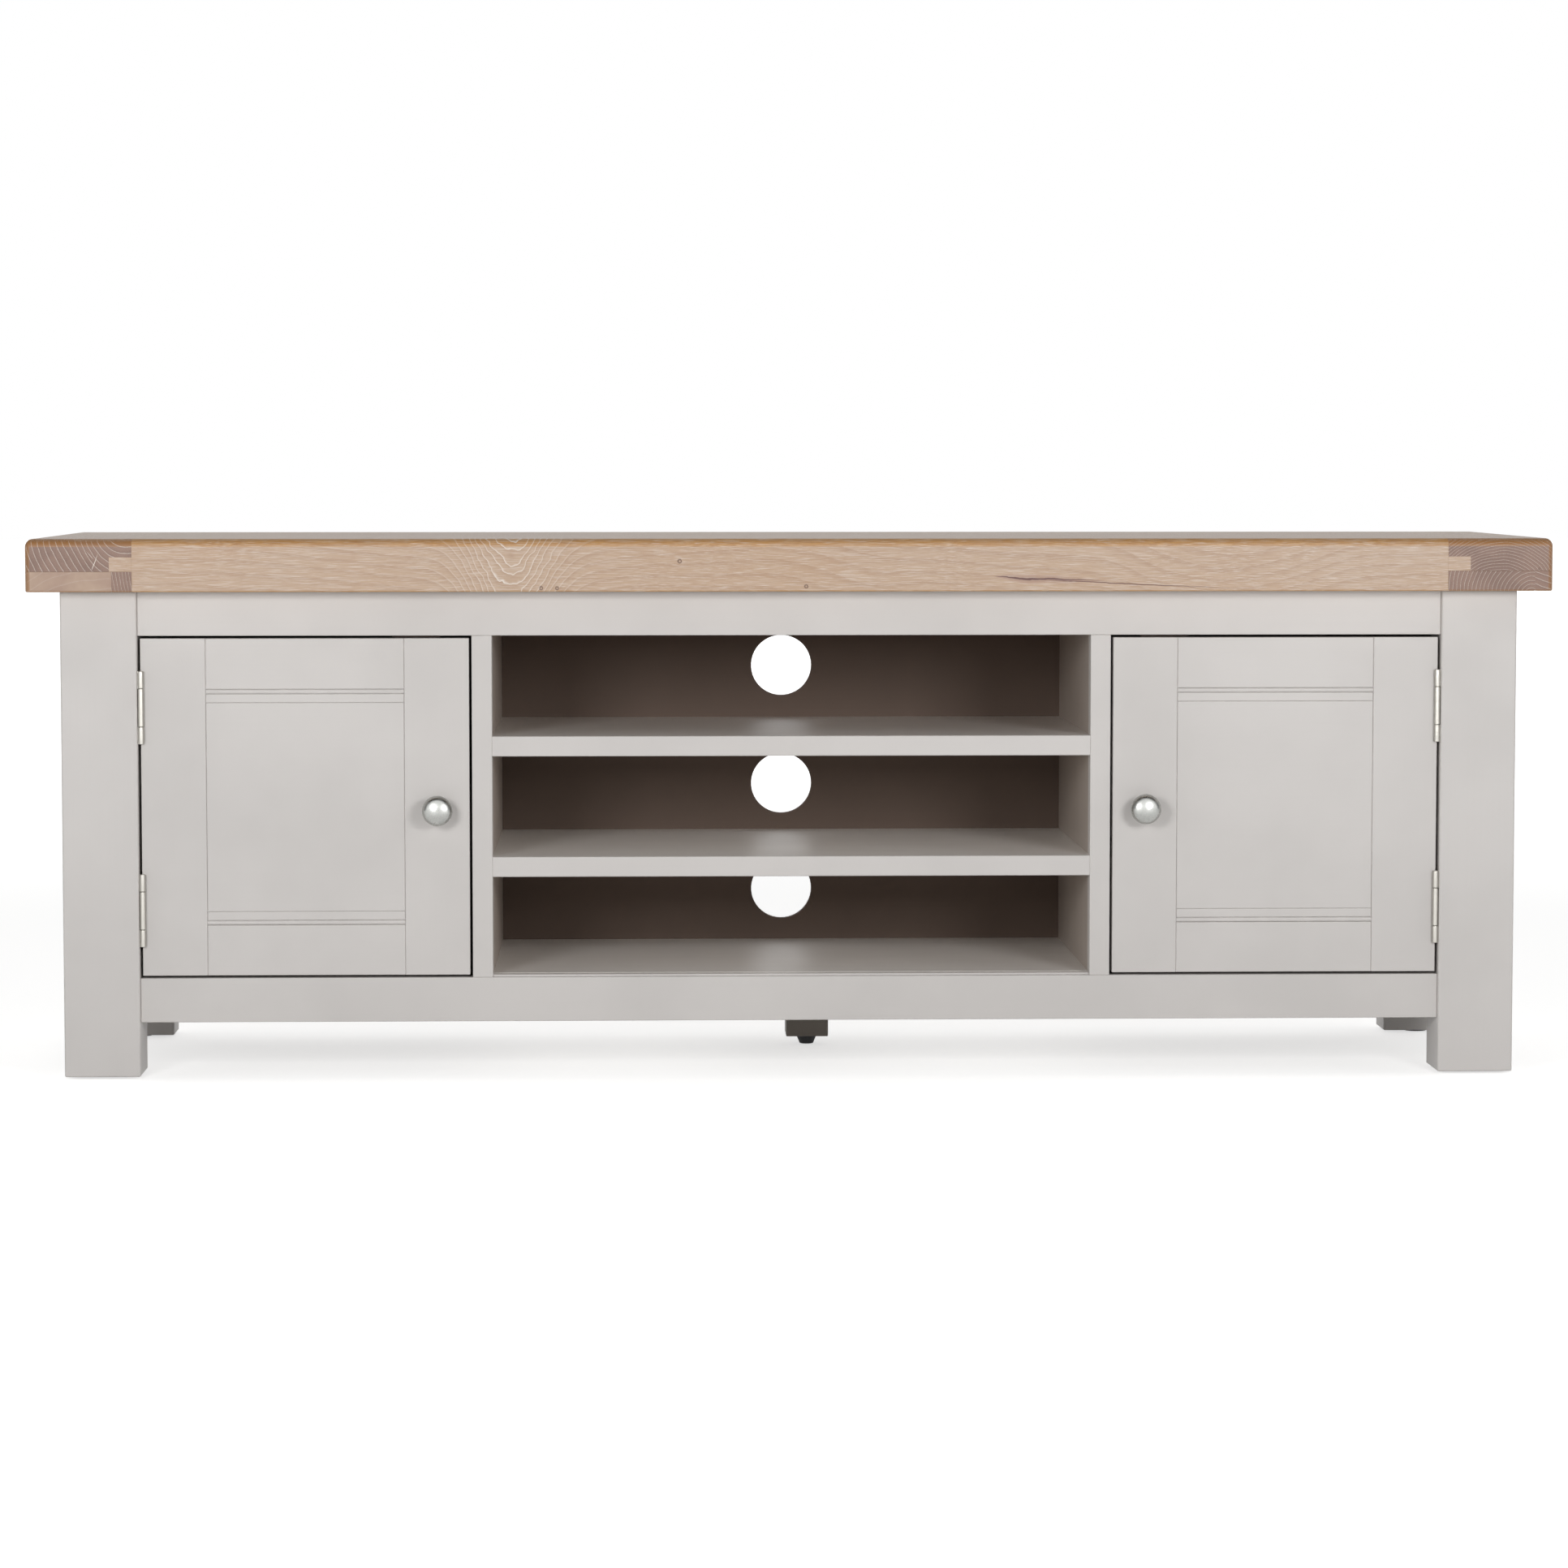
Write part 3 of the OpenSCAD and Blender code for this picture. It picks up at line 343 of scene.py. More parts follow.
# Limed oak. The grain attribute is (metres along, rings, rings) from the pith, so rings are circles
# round the pith on the end grain and long arches on the faces; lime fills the early wood's pores.
def oakMaterial(name, along, marks=None, strip=0.0, arris="arris", sway=16.0):
    n = Nodes(bpy.data.materials.new(name))
    look = oakLook
    place = n.place()
    grain = n.attribute("grain", "Vector")
    flowNoise = n.add("ShaderNodeTexNoise", {"Vector": place, "Scale": look["flowScale"], "Detail": 2.0,
                                             "Roughness": 0.45})
    flow = n.add("ShaderNodeVectorMath", {0: flowNoise.outputs["Color"], 1: (0.5, 0.5, 0.5)},
                 operation="SUBTRACT")
    flow = n.add("ShaderNodeVectorMath", {0: flow.outputs[0], "Scale": look["flow"]}, operation="SCALE")
    bent = n.add("ShaderNodeVectorMath", {0: place, 1: flow.outputs[0]}, operation="ADD").outputs[0]
    wander = n.stretched(grain, look["drift"])
    drift = n.times(n.minus(n.noise(wander, 1.0, 2.0, 0.45), 0.5), sway)
    ripple = n.noise(n.stretched(grain, look["ripple"]), 1.0, 3.0, 0.55)
    ripple = n.times(ripple, look["rippleRings"])
    parts = n.add("ShaderNodeSeparateXYZ", {"Vector": grain}).outputs
    radius = n.math("SQRT", n.plus(n.times(parts[1], parts[1]), n.times(parts[2], parts[2])))
    rings = n.plus(n.plus(radius, drift), ripple)
    openArch = 0.0
    if marks and "arch" in marks:
        openArch, offset = marks["arch"](n, place)
        rings = n.plus(rings, offset)
    phase = n.math("FRACT", rings)
    early = n.minus(1.0, n.span(phase, 0.0, 0.42))
    late = n.span(phase, 0.45, 0.98)

    def streaks(across, alongShare, detail, roughness):
        scale = [across / look["poreAcross"]] * 3
        scale[along] = alongShare / look["poreAlong"]
        return n.noise(n.stretched(bent, scale), 1.0, detail, roughness)
    pore = streaks(1.0, 1.0, 2.0, 0.55)
    fine = streaks(1.9, 0.5, 3.0, 0.6)
    coarse = streaks(0.22, 0.25, 3.0, 0.6)
    broad = n.noise(n.stretched(grain, look["broad"]), 1.0, 2.0, 0.5)
    patch = n.noise(place, look["patchScale"], 3.0, 0.6)
    normal = n.add("ShaderNodeNewGeometry").outputs["Normal"]
    facing = n.math("ABSOLUTE", n.add("ShaderNodeSeparateXYZ", {"Vector": normal}).outputs[along])
    endGrain = n.span(facing, 0.55, 0.9)
    face = n.mix(n.times(late, 0.26), colour(*look["pale"]), colour(*look["deep"]))
    face = n.mix(n.span(broad, 0.35, 0.75, 0.0, 0.45), face, colour(*look["warm"]))
    face = n.mix(n.span(coarse, 0.5, 0.75, 0.0, 0.25), face, colour(*look["deep"]))
    face = n.mix(n.span(fine, 0.45, 0.72, 0.0, 0.45), face, colour(*look["deep"]))
    speck = n.noise(place, look["speckScale"], 2.0, 0.6)
    end = n.mix(n.times(late, 0.3), colour(*look["endPale"]), colour(*look["endDeep"]))
    end = n.mix(n.span(speck, 0.45, 0.7, 0.0, 0.6), end, colour(*look["endDeep"]))
    end = n.mix(n.span(patch, 0.4, 0.7, 0.0, 0.5), end, colour(*look["endDeep"]))
    if strip:
        mottled = n.mix(n.span(patch, 0.35, 0.7), colour(*look["strip"]), colour(*look["pale"]))
        end = n.mix(strip, end, mottled)
    body = n.mix(endGrain, face, end)
    golden = n.mix(n.span(fine, 0.35, 0.65), colour(*look[arris]), colour(*look["arrisDeep"]))
    rubbed = n.math("POWER", n.attribute("worn"), 0.25)
    rubbed = n.times(rubbed, n.span(patch, 0.2, 0.55, 0.6, 1.0))
    tinted = n.mix(rubbed, body, golden)
    poreMask = n.span(pore, 0.52, 0.62)
    sharp = n.math("POWER", early, 4.0)
    limeFace = n.math("MAXIMUM", n.times(n.times(early, poreMask), 0.6), n.times(sharp, openArch))
    limeEnd = n.times(n.math("POWER", early, 8.0), n.span(speck, 0.36, 0.56, 0.2, 1.0))
    limeEnd = n.times(limeEnd, 0.85 * (1 - 0.95 * strip))
    lime = n.plus(n.times(limeFace, n.minus(1.0, endGrain)), n.times(limeEnd, endGrain))
    flecks = n.times(n.span(pore, 0.53, 0.66, 0.0, 0.55), n.minus(1.0, endGrain))
    limed = n.mix(n.math("MAXIMUM", lime, flecks), tinted, colour(*look["lime"]))
    height = n.minus(n.times(fine, 0.3), n.times(lime, 0.5))
    if marks:
        for mark in marks["stains"]:
            mask, tone = mark(n, place)
            limed = n.mix(mask, limed, tone)
            height = n.minus(height, n.times(mask, 0.6))
    rough = n.span(fine, 0.3, 0.8, look["roughness"] - 0.08, look["roughness"] + 0.12)
    return n.finish(**{"Base Color": limed, "Roughness": rough, "Specular IOR Level": 0.5,
                       "Normal": n.bump(height, 0.2, look["relief"])})


metalLook = {"scratchAcross": 4500.0, "scratchAlong": 260.0, "smearScale": 140.0, "dull": 0.82,
             "relief": 0.03 * mm}


# Satin metal, with fine scratches drawn along one axis.
def metalMaterial(name, tone, roughness, along):
    n = Nodes(bpy.data.materials.new(name))
    place = n.place()
    scale = [metalLook["scratchAcross"]] * 3
    scale[along] = metalLook["scratchAlong"]
    scratch = n.noise(n.stretched(place, scale), 1.0, 2.0, 0.6)
    smear = n.noise(place, metalLook["smearScale"], 3.0, 0.6)
    base = colour(*tone)
    smeared = n.mix(n.span(smear, 0.45, 0.75, 0.0, 0.6), base, shade(base, metalLook["dull"]))
    rough = n.span(smear, 0.3, 0.75, roughness - 0.05, roughness + 0.1)
    return n.finish(**{"Base Color": smeared, "Metallic": 1.0, "Roughness": rough,
                       "Normal": n.bump(scratch, 0.12, metalLook["relief"])})


plasticLook = {"gritScale": 2600.0, "patchScale": 90.0, "rubbed": 1.5, "lift": 0.01, "relief": 0.05 * mm}


# Moulded plastic: a fine spark-eroded grain with a few rubbed patches.
def plasticMaterial(name, tone, roughness):
    n = Nodes(bpy.data.materials.new(name))
    place = n.place()
    grit = n.noise(place, plasticLook["gritScale"], 2.0, 0.6)
    patch = n.noise(place, plasticLook["patchScale"], 3.0, 0.6)
    base = colour(*tone)
    lighter = shade(base, plasticLook["rubbed"], plasticLook["lift"])
    return n.finish(**{"Base Color": n.mix(n.span(patch, 0.5, 0.8, 0.0, 0.5), base, lighter),
                       "Roughness": n.span(patch, 0.3, 0.7, roughness, roughness + 0.15),
                       "Normal": n.bump(grit, 0.3, plasticLook["relief"])})


paints = {(tone, along): paintMaterial(tone, along) for tone in paintTones for along in (0, 1, 2)}
nickel = metalMaterial("satinNickel", (182, 183, 180), 0.26, 1)
hingeNickel = metalMaterial("hingeNickel", (190, 187, 180), 0.33, 2)
zinc = metalMaterial("zincPlate", (160, 162, 165), 0.38, 1)
nylon = plasticMaterial("blackNylon", (28, 28, 30), 0.5)
catchPlastic = plasticMaterial("brownPlastic", (92, 70, 60), 0.5)
print("materials ready")


def corners(node):
    low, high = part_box(node)
    return np.array(low), np.array(high)


def trimmed(box, **limits):
    low, high = box[0].copy(), box[1].copy()
    for key, value in limits.items():
        (low if key[:-1] == "low" else high)["XYZ".index(key[-1])] = value
    return low, high


# One or more boards as a single piece that stands for a CAD node; radii in millimetres
def addBoards(node, body, slot, boards, along, corner, end, material, steps=4, finish=None):
    def metres(value):
        if isinstance(value, tuple):
            return value[0] * mm, tuple(v * mm for v in value[1])
        return value and value * mm
    grids = [boardGrid(low, high, along, np.array(corner) * mm, metres(end), metres(finish), steps)
             for low, high in boards]
    return settle(meshPiece(node + "_shape", grids), node, body, slot, material)


frameArris = {"leg": 2.2, "legFoot": 1.6, "rail": 1.0, "railEnd": 0.6, "panel": 0.6,
              "shelfFront": 1.2, "stile": 0.9, "lip": 0.9, "foot": 1.5, "footEnd": 1.2}
legBox = {name: corners("leg_" + name) for name in ("front_left", "front_right", "rear_left", "rear_right")}
for name, box in legBox.items():
    addBoards("leg_" + name, "cabinet", "paint", [box], 2, frameArris["leg"], frameArris["legFoot"],
              paints["front", 2], 6)

innerLeft, innerRight = legBox["front_left"][1][0], legBox["front_right"][0][0]
railBox = {}
for place in ("front_top", "front_bottom", "rear_top", "rear_bottom"):
    railBox[place] = trimmed(corners("rail_" + place), lowX=innerLeft, highX=innerRight)
    addBoards("rail_" + place, "cabinet", "paint", [railBox[place]], 0,
              frameArris["rail"], frameArris["railEnd"], paints["front", 0])

openLow, openHigh = railBox["front_bottom"][1][2], railBox["front_top"][0][2]
legRear, legFront = legBox["front_left"][1][1], legBox["rear_left"][0][1]
for side in ("left", "right"):
    whole = trimmed(corners("side_rails_" + side), lowY=legRear, highY=legFront)
    sideRails = [trimmed(whole, highZ=openLow), trimmed(whole, lowZ=openHigh)]
    addBoards("side_rails_" + side, "cabinet", "paint", sideRails, 1,
              frameArris["rail"], frameArris["railEnd"], paints["front", 1])
    addBoards("side_panel_" + side, "cabinet", "paint", [corners("side_panel_" + side)], 2,
              frameArris["panel"], frameArris["panel"], paints["front", 2])
    # Dividers take the bay tone, darker and browner than the frame: painted shade inside the bays
    addBoards("divider_" + side, "cabinet", "bay_paint", [corners("divider_" + side)], 2,
              frameArris["panel"], frameArris["panel"], paints["bay", 1])
    stile = trimmed(corners("divider_stile_" + side), lowZ=openLow, highZ=openHigh)
    addBoards("divider_stile_" + side, "cabinet", "paint", [stile], 2,
              frameArris["stile"], frameArris["railEnd"], paints["front", 2])

bayLeft, bayRight = corners("divider_left")[1][0], corners("divider_right")[0][0]
railRear = railBox["front_bottom"][1][1]
shelfLook = {"split": 12 * mm, "end": 0.2 * mm, "seam": 0.05 * mm, "paleDepth": 2.5 * mm, "joint": 0.02,
             "lipBack": 0.3}


# Shelves take the shelf tone, paler than the frame all over as painted light for their lit tops, with a strip
# in the frame's own paint along the front edge
def addShelf(node, front, rest, frontCorners):
    grids = [boardGrid(*front, 0, np.array(frontCorners) * mm, shelfLook["end"], steps=4),
             boardGrid(*rest, 0, shelfLook["seam"], shelfLook["seam"], steps=2)]
    piece = settle(meshPiece(node + "_shape", grids), node, "cabinet", "bay_paint",
                   paints["shelf", 0], paints["front", 0])
    frontFaces = gridFaces(*grids[0][0].shape[:2], 0)
    coat = np.zeros(len(piece.data.polygons), int)
    centres = np.zeros(len(coat) * 3)
    piece.data.polygons.foreach_get("center", centres)
    inFront = centres.reshape(-1, 3)[:len(frontFaces), 1]
    coat[:len(frontFaces)] = inFront < front[0][1] + shelfLook["paleDepth"]
    piece.data.polygons.foreach_set("material_index", coat)


arris, sharp = frameArris["shelfFront"], shelfLook["joint"]
for node in ("shelf_upper", "shelf_lower"):
    shelf = trimmed(corners(node), lowX=bayLeft, highX=bayRight)
    splitY = shelf[0][1] + shelfLook["split"]
    addShelf(node, trimmed(shelf, highY=splitY), trimmed(shelf, lowY=splitY), [sharp, arris, arris, sharp])
# The base board is drawn as a shelf, so it too takes the paler shelf tone, painted light
base = corners("base_board_centre")
addShelf("base_board_centre", trimmed(base, lowZ=openLow, highY=base[0][1] + shelfLook["split"]),
         trimmed(base, lowY=railRear), [sharp, frameArris["lip"], shelfLook["lipBack"], sharp])
addBoards("centre_foot", "cabinet", "inside_paint", [corners("centre_foot")], 2,
          frameArris["foot"], frameArris["footEnd"], paints["inside", 2])
print("carcass built")


# Where each point lies from the board's pith: metres along, then rings across
def grainAlong(along, pith, ringSize, start=0.0):
    crossA, crossB = [(1, 2), (2, 0), (0, 1)][along]

    def attribute(places):
        return np.stack([places[:, along] + start, (places[:, crossA] - pith[0]) / ringSize,
                         (places[:, crossB] - pith[1]) / ringSize], axis=-1)
    return attribute


# Natural marks on the front board's face, placed as shares of its length and height. A crack has its start,
# finish, rough width and wander in millimetres, strength and tone; a knot has its size last.
frontMarks = {"archAt": 0.285, "archWidth": 44 * mm, "archRings": 9.0, "archWander": 2.2, "archScale": 55.0,
              "cracks": [((0.652, 0.27), (0.765, 0.16), 9.2, 5.0, 0.45, (158, 124, 114)),
                         ((0.652, 0.27), (0.765, 0.16), 2.3, 5.0, 0.95, (92, 58, 56)),
                         ((0.69, 0.21), (0.9, 0.0), 1.2, 3.0, 0.95, (104, 68, 62))],
              "knots": [(0.309, 0.07, 2.6), (0.321, 0.07, 2.4), (0.414, 0.575, 2.8), (0.51, 0.10, 2.6)],
              "knotTone": (104, 76, 62), "faceDepth": 12 * mm, "faceFade": 6 * mm}
boardBox = corners("top_front_board")
cleatJoint = corners("top_packing_right")[0][0]
tongueTip = boardBox[1][0]
tongueLow = corners("top_cleat_right")[0][2]
fieldBox = trimmed(boardBox, lowX=-cleatJoint, highX=cleatJoint)


def onBoard(shareX, shareZ):
    return [fieldBox[0][0] + shareX * (fieldBox[1][0] - fieldBox[0][0]),
            fieldBox[0][2] + shareZ * (fieldBox[1][2] - fieldBox[0][2])]


# The grain dives where a branch once grew: rings + depth * exp(-((x - x0) / width)^2).
# Gives back how open the pores are there, and the offset in rings.
def archOffset(n, place):
    x = n.add("ShaderNodeSeparateXYZ", {"Vector": place}).outputs[0]
    centre = onBoard(frontMarks["archAt"], 0)[0]
    away = n.math("DIVIDE", n.minus(x, centre), frontMarks["archWidth"])
    bell = n.math("EXPONENT", n.times(n.times(away, away), -1.0))
    wobble = n.minus(n.noise(place, frontMarks["archScale"], 2.0, 0.5), 0.5)
    wobble = n.times(wobble, frontMarks["archWander"])
    depth = n.plus(wobble, frontMarks["archRings"])
    return n.math("POWER", bell, 0.7), n.times(bell, depth)


# Keeps a mark to the front: 1 on the face, 0 further back
def frontFace(n, place):
    y = n.add("ShaderNodeSeparateXYZ", {"Vector": place}).outputs[1]
    endsAt = boardBox[0][1] + frontMarks["faceDepth"]
    return n.span(y, endsAt - frontMarks["faceFade"], endsAt, 1.0, 0.0)


crackLook = {"swell": 0.7, "scale": 2.6, "feather": 0.27, "wanderScale": 40.0}


# A drying crack: half width = scale * wide * s^swell (1 - s)^2 round a line that wanders, s from 0 to 1
def crack(start, finish, wide, wander, strength, tone):
    def mark(n, place):
        x, y, z = n.add("ShaderNodeSeparateXYZ", {"Vector": place}).outputs
        (x0, z0), (x1, z1) = start, finish
        length = math.hypot(x1 - x0, z1 - z0)
        ux, uz = (x1 - x0) / length, (z1 - z0) / length
        dx, dz = n.minus(x, x0), n.minus(z, z0)
        run = n.plus(n.times(dx, ux), n.times(dz, uz))
        s = n.math("DIVIDE", run, length, clamp=True)
        aside = n.minus(n.times(dz, ux), n.times(dx, uz))
        left = n.minus(1.0, s)
        swell = n.times(n.math("POWER", s, crackLook["swell"]), n.times(left, left))
        width = n.times(swell, crackLook["scale"] * wide)
        sway = n.minus(n.noise(place, crackLook["wanderScale"], 3.0, 0.6), 0.5)
        shift = n.times(sway, wander)
        gap = n.minus(width, n.math("ABSOLUTE", n.minus(aside, shift)))
        mask = n.span(gap, 0.0, crackLook["feather"] * wide, 0.0, strength)
        return n.times(mask, frontFace(n, place)), colour(*tone)
    return mark


# A knot: a dark ring of radius 0.8 size, with a paler heart
def knot(centre, size):
    def mark(n, place):
        x, y, z = n.add("ShaderNodeSeparateXYZ", {"Vector": place}).outputs
        dx, dz = n.minus(x, centre[0]), n.minus(z, centre[1])
        away = n.math("SQRT", n.plus(n.times(dx, dx), n.times(dz, dz)))
        away = n.plus(away, n.times(n.noise(place, 500.0, 2.0, 0.5), size * 0.5 * mm))
        fromRing = n.math("ABSOLUTE", n.minus(away, size * 0.8 * mm))
        ring = n.minus(1.0, n.span(fromRing, 0.1 * mm, size * 0.45 * mm))
        mask = n.times(n.times(ring, 0.85), frontFace(n, place))
        return mask, colour(*frontMarks["knotTone"])
    return mark


cracks = [crack(onBoard(*start), onBoard(*finish), wide * mm, wander * mm, strength, tone)
          for start, finish, wide, wander, strength, tone in frontMarks["cracks"]]
knots = [knot(onBoard(x, z), size) for x, z, size in frontMarks["knots"]]
oakFront = oakMaterial("oakFront", 0, {"arch": archOffset, "stains": cracks + knots})
oakBoards = oakMaterial("oakBoards", 0)
# Checks and a pin knot in the end grain, as (in from the outer end, down from the top) in millimetres.
# Sway is how far the rings drift from circles, in rings.
cleatMarks = {"checks": [((65, 31), (74, 8), 0.9), ((67, 20), (57, 9), 0.5)], "wander": 3.0, "strength": 0.85,
              "pin": (14, 30, 1.4), "leftSway": 9.0, "rightSway": 5.0, "paleStrip": 0.85}
outerEnd = corners("top_cleat_right")[1][0]


def onCleat(sign, inward, down):
    return sign * (outerEnd - inward * mm), boardBox[1][2] - down * mm


leftChecks = [crack(onCleat(-1, *start), onCleat(-1, *finish), wide * mm, cleatMarks["wander"] * mm,
                    cleatMarks["strength"], oakLook["lime"]) for start, finish, wide in cleatMarks["checks"]]
pinIn, pinDown, pinSize = cleatMarks["pin"]
rightPin = knot(onCleat(1, pinIn, pinDown), pinSize)
cleatStains = {"left": ("oakCleatLeft", leftChecks), "right": ("oakCleatRight", [rightPin])}
oakCleats = {side: oakMaterial(name, 1, {"stains": stains}, 0.0, "cleatArris", cleatMarks[side + "Sway"])
             for side, (name, stains) in cleatStains.items()}
oakPaleStrip = oakMaterial("oakPaleStrip", 1, None, cleatMarks["paleStrip"], "cleatArris")

topArris = {"upper": 8.0, "lower": 1.6, "joint": 0.22, "upright": 5.0, "seam": 0.02, "tongue": 14.0,
            "wearAcross": 6.0, "wearFlat": 20.0}
joint, upper, lower = (topArris[key] * mm for key in ("joint", "upper", "lower"))
upright, seam = topArris["upright"] * mm, topArris["seam"] * mm
topZ = boardBox[1][2]
tongueHigh = tongueLow + topArris["tongue"] * mm
wearAcross, wearFlat = topArris["wearAcross"] * mm, topArris["wearFlat"] * mm


# Boards run left to right with a tongue at each end, and lie under the cleats by its length
def addField(node, fields):
    grids, grains = [], []
    for box, cornerRadii, pith, ringSize, start in fields:
        grids.append(boardGrid(*box, 0, cornerRadii, joint, steps=8, fullWear=wearAcross))
        for x0, x1 in ((-tongueTip, -cleatJoint), (cleatJoint, tongueTip)):
            tongue = trimmed(box, lowX=x0, highX=x1, lowZ=tongueLow, highZ=tongueHigh)
            grids.append(boardGrid(*tongue, 0, seam, seam, steps=2, fullWear=wearAcross))
        grains += [grainAlong(0, pith, ringSize, start)] * 3
    return meshPiece(node + "_shape", grids, grains)


# Each board: pith in from its edge and down from the top, ring size in millimetres, metres along the log
boardGrain = {"front": (20, 115, 11, 0.3), "rear": (-45, 100, 3.6, 2.1),
              "middleFront": (60, 75, 3.8, 4.4), "middleRear": (-40, 140, 3.2, 7.0)}


def field(box, cornerRadii, edge, name):
    inward, down, ring, start = boardGrain[name]
    return box, cornerRadii, (edge + inward * mm, topZ - down * mm), ring * mm, start


settle(addField("top_front_board", [field(fieldBox, [joint, upper, lower, joint], fieldBox[0][1], "front")]),
       "top_front_board", "cabinet", "oak", oakFront)
rearBox = trimmed(corners("top_rear_board"), lowX=-cleatJoint, highX=cleatJoint)
settle(addField("top_rear_board", [field(rearBox, [upper, joint, joint, lower], rearBox[1][1], "rear")]),
       "top_rear_board", "cabinet", "oak", oakBoards)
middle = trimmed(corners("top_middle_boards"), lowX=-cleatJoint, highX=cleatJoint)
halfway = (middle[0][1] + middle[1][1]) / 2
middles = [field(trimmed(middle, highY=halfway), joint, middle[0][1], "middleFront"),
           field(trimmed(middle, lowY=halfway), joint, middle[1][1], "middleRear")]
settle(addField("top_middle_boards", middles), "top_middle_boards", "cabinet", "oak", oakBoards)

cleatLook = {"left": {"pith": (16, 2), "ring": 5.6, "strip": 84, "innerPith": (22, -160), "innerRing": 3.2,
                      "outerPith": (-330, 0), "outerRing": 7.0},
             "right": {"pith": (-77, 52), "ring": 2.9, "strip": 18, "innerPith": (-24, 82), "innerRing": 3.9,
                       "outerPith": (-320, 0), "outerRing": 6.0}}


# Cleats run front to back, so their end grain faces the front. They are drawn upwards from the joint:
# sides +X, +Y, -X, -Y; pith is (up from the cleat's top or the packing's top, outwards from the joint).
def addCleat(side, sign):
    look = cleatLook[side]
    box, pack = corners("top_cleat_" + side), corners("top_packing_" + side)
    outward = [upright, upright] if sign > 0 else [seam, seam]
    inward = [seam, seam] if sign > 0 else [upright, upright]
    radii = [outward[0], inward[0], inward[1], outward[1]]

    def between(whole, near, far, **more):
        xs = sorted((sign * near, sign * far))
        return trimmed(whole, lowX=xs[0], highX=xs[1], **more)

    def sides(outer, inner):
        return (outer, upper, inner, upper) if sign > 0 else (inner, upper, outer, upper)
    outer = box[1][0] if sign > 0 else -box[0][0]
    pith = (box[1][2] + look["pith"][0] * mm, sign * (cleatJoint + look["pith"][1] * mm))
    grain = grainAlong(1, pith, look["ring"] * mm, 1.0 * sign)
    top = boardGrid(*between(box, cleatJoint, outer, lowZ=tongueHigh), 2, radii, seam,
                    (upper, sides(upper, seam)), 8, wearAcross)
    low = boardGrid(*between(box, tongueTip, outer, highZ=tongueHigh), 2, radii, seam, seam, 8, wearFlat)
    settle(meshPiece(f"top_cleat_{side}_shape", [top, low], [grain, grain]),
           "top_cleat_" + side, "cabinet", "oak_cleat", oakCleats[side])
    split = outer - look["strip"] * mm

    def packGrain(which, start):
        up, outwards = look[which + "Pith"]
        return grainAlong(1, (pack[1][2] + up * mm, sign * (cleatJoint + outwards * mm)),
                          look[which + "Ring"] * mm, start)
    around = (lower, (lower,) * 4)
    inner = boardGrid(*between(pack, cleatJoint, split), 2, [seam] * 4, around, joint, 5, wearFlat)
    strip = boardGrid(*between(pack, split, outer), 2, radii, around, joint, 8, wearFlat)
    piece = settle(meshPiece(f"top_packing_{side}_shape", [inner, strip],
                             [packGrain("inner", 2.0), packGrain("outer", 3.0)]),
                   "top_packing_" + side, "cabinet", "oak_cleat", oakCleats["right"], oakPaleStrip)
    if side == "left":
        plain = np.ones(len(piece.data.polygons), int)
        plain[:len(gridFaces(*inner[0].shape[:2], 0))] = 0
        piece.data.polygons.foreach_set("material_index", plain)


addCleat("left", -1)
addCleat("right", 1)
print("oak top built")


doorArris = {"outer": 0.9, "joint": 1.15, "end": 0.5, "beadTall": 4.8, "bead": 2.3, "strip": 8.6, "back": 0.6,
             "seam": 0.1, "panel": 0.92, "beadEnds": (0.6, (0.1, 0.3, 0.9, 0.3))}
knobLook = {"foot": 8.0, "neck": 5.5, "footTall": 1.2, "dome": 26.0, "rim": 8.0, "cone": 5.0, "around": 72}


# A domed knob: quarter-round foot, neck narrowing by a cubic, cone, then rim and dome as two arcs that
# touch: the rim's centre is (radius - rim) out, and dome - rim away from the dome's centre.
def knobGrid(node):
    low, high = corners(node)
    centre = (low + high) / 2
    radius, reach = (high[0] - low[0]) / 2, high[1] - low[1]
    rim, dome = knobLook["rim"] * mm, knobLook["dome"] * mm
    turn = np.linspace(0, math.pi / 2, 7)
    neck, rise = knobLook["neck"] * mm, knobLook["footTall"] * mm
    footR = knobLook["foot"] * mm - rise * (1 - np.cos(turn))
    footH = rise * np.sin(turn)
    rimOut, domeUp = radius - rim, math.sqrt((dome - rim) ** 2 - (radius - rim) ** 2)
    rimH = reach - dome + domeUp
    neckEnd = rimH - rim - knobLook["cone"] * mm
    share = np.linspace(0, 1, 12)[1:]
    waistR = neck + (footR[-1] - neck) * (1 - share) ** 3
    waistH = footH[-1] + (neckEnd - footH[-1]) * share
    meet = math.atan2(domeUp, rimOut)
    rimTurn = np.linspace(-math.pi / 2, meet, 28)
    domeTurn = np.linspace(meet, math.pi / 2 - 0.005, 24)[1:]
    radii = np.concatenate([footR, waistR, rimOut + rim * np.cos(rimTurn), dome * np.cos(domeTurn)])
    domeH = reach - dome + dome * np.sin(domeTurn)
    height = np.concatenate([footH, waistH, rimH + rim * np.sin(rimTurn), domeH])
    return turnedGrid((centre[0], high[1], centre[2]), (0, -1, 0), radii, height, knobLook["around"])


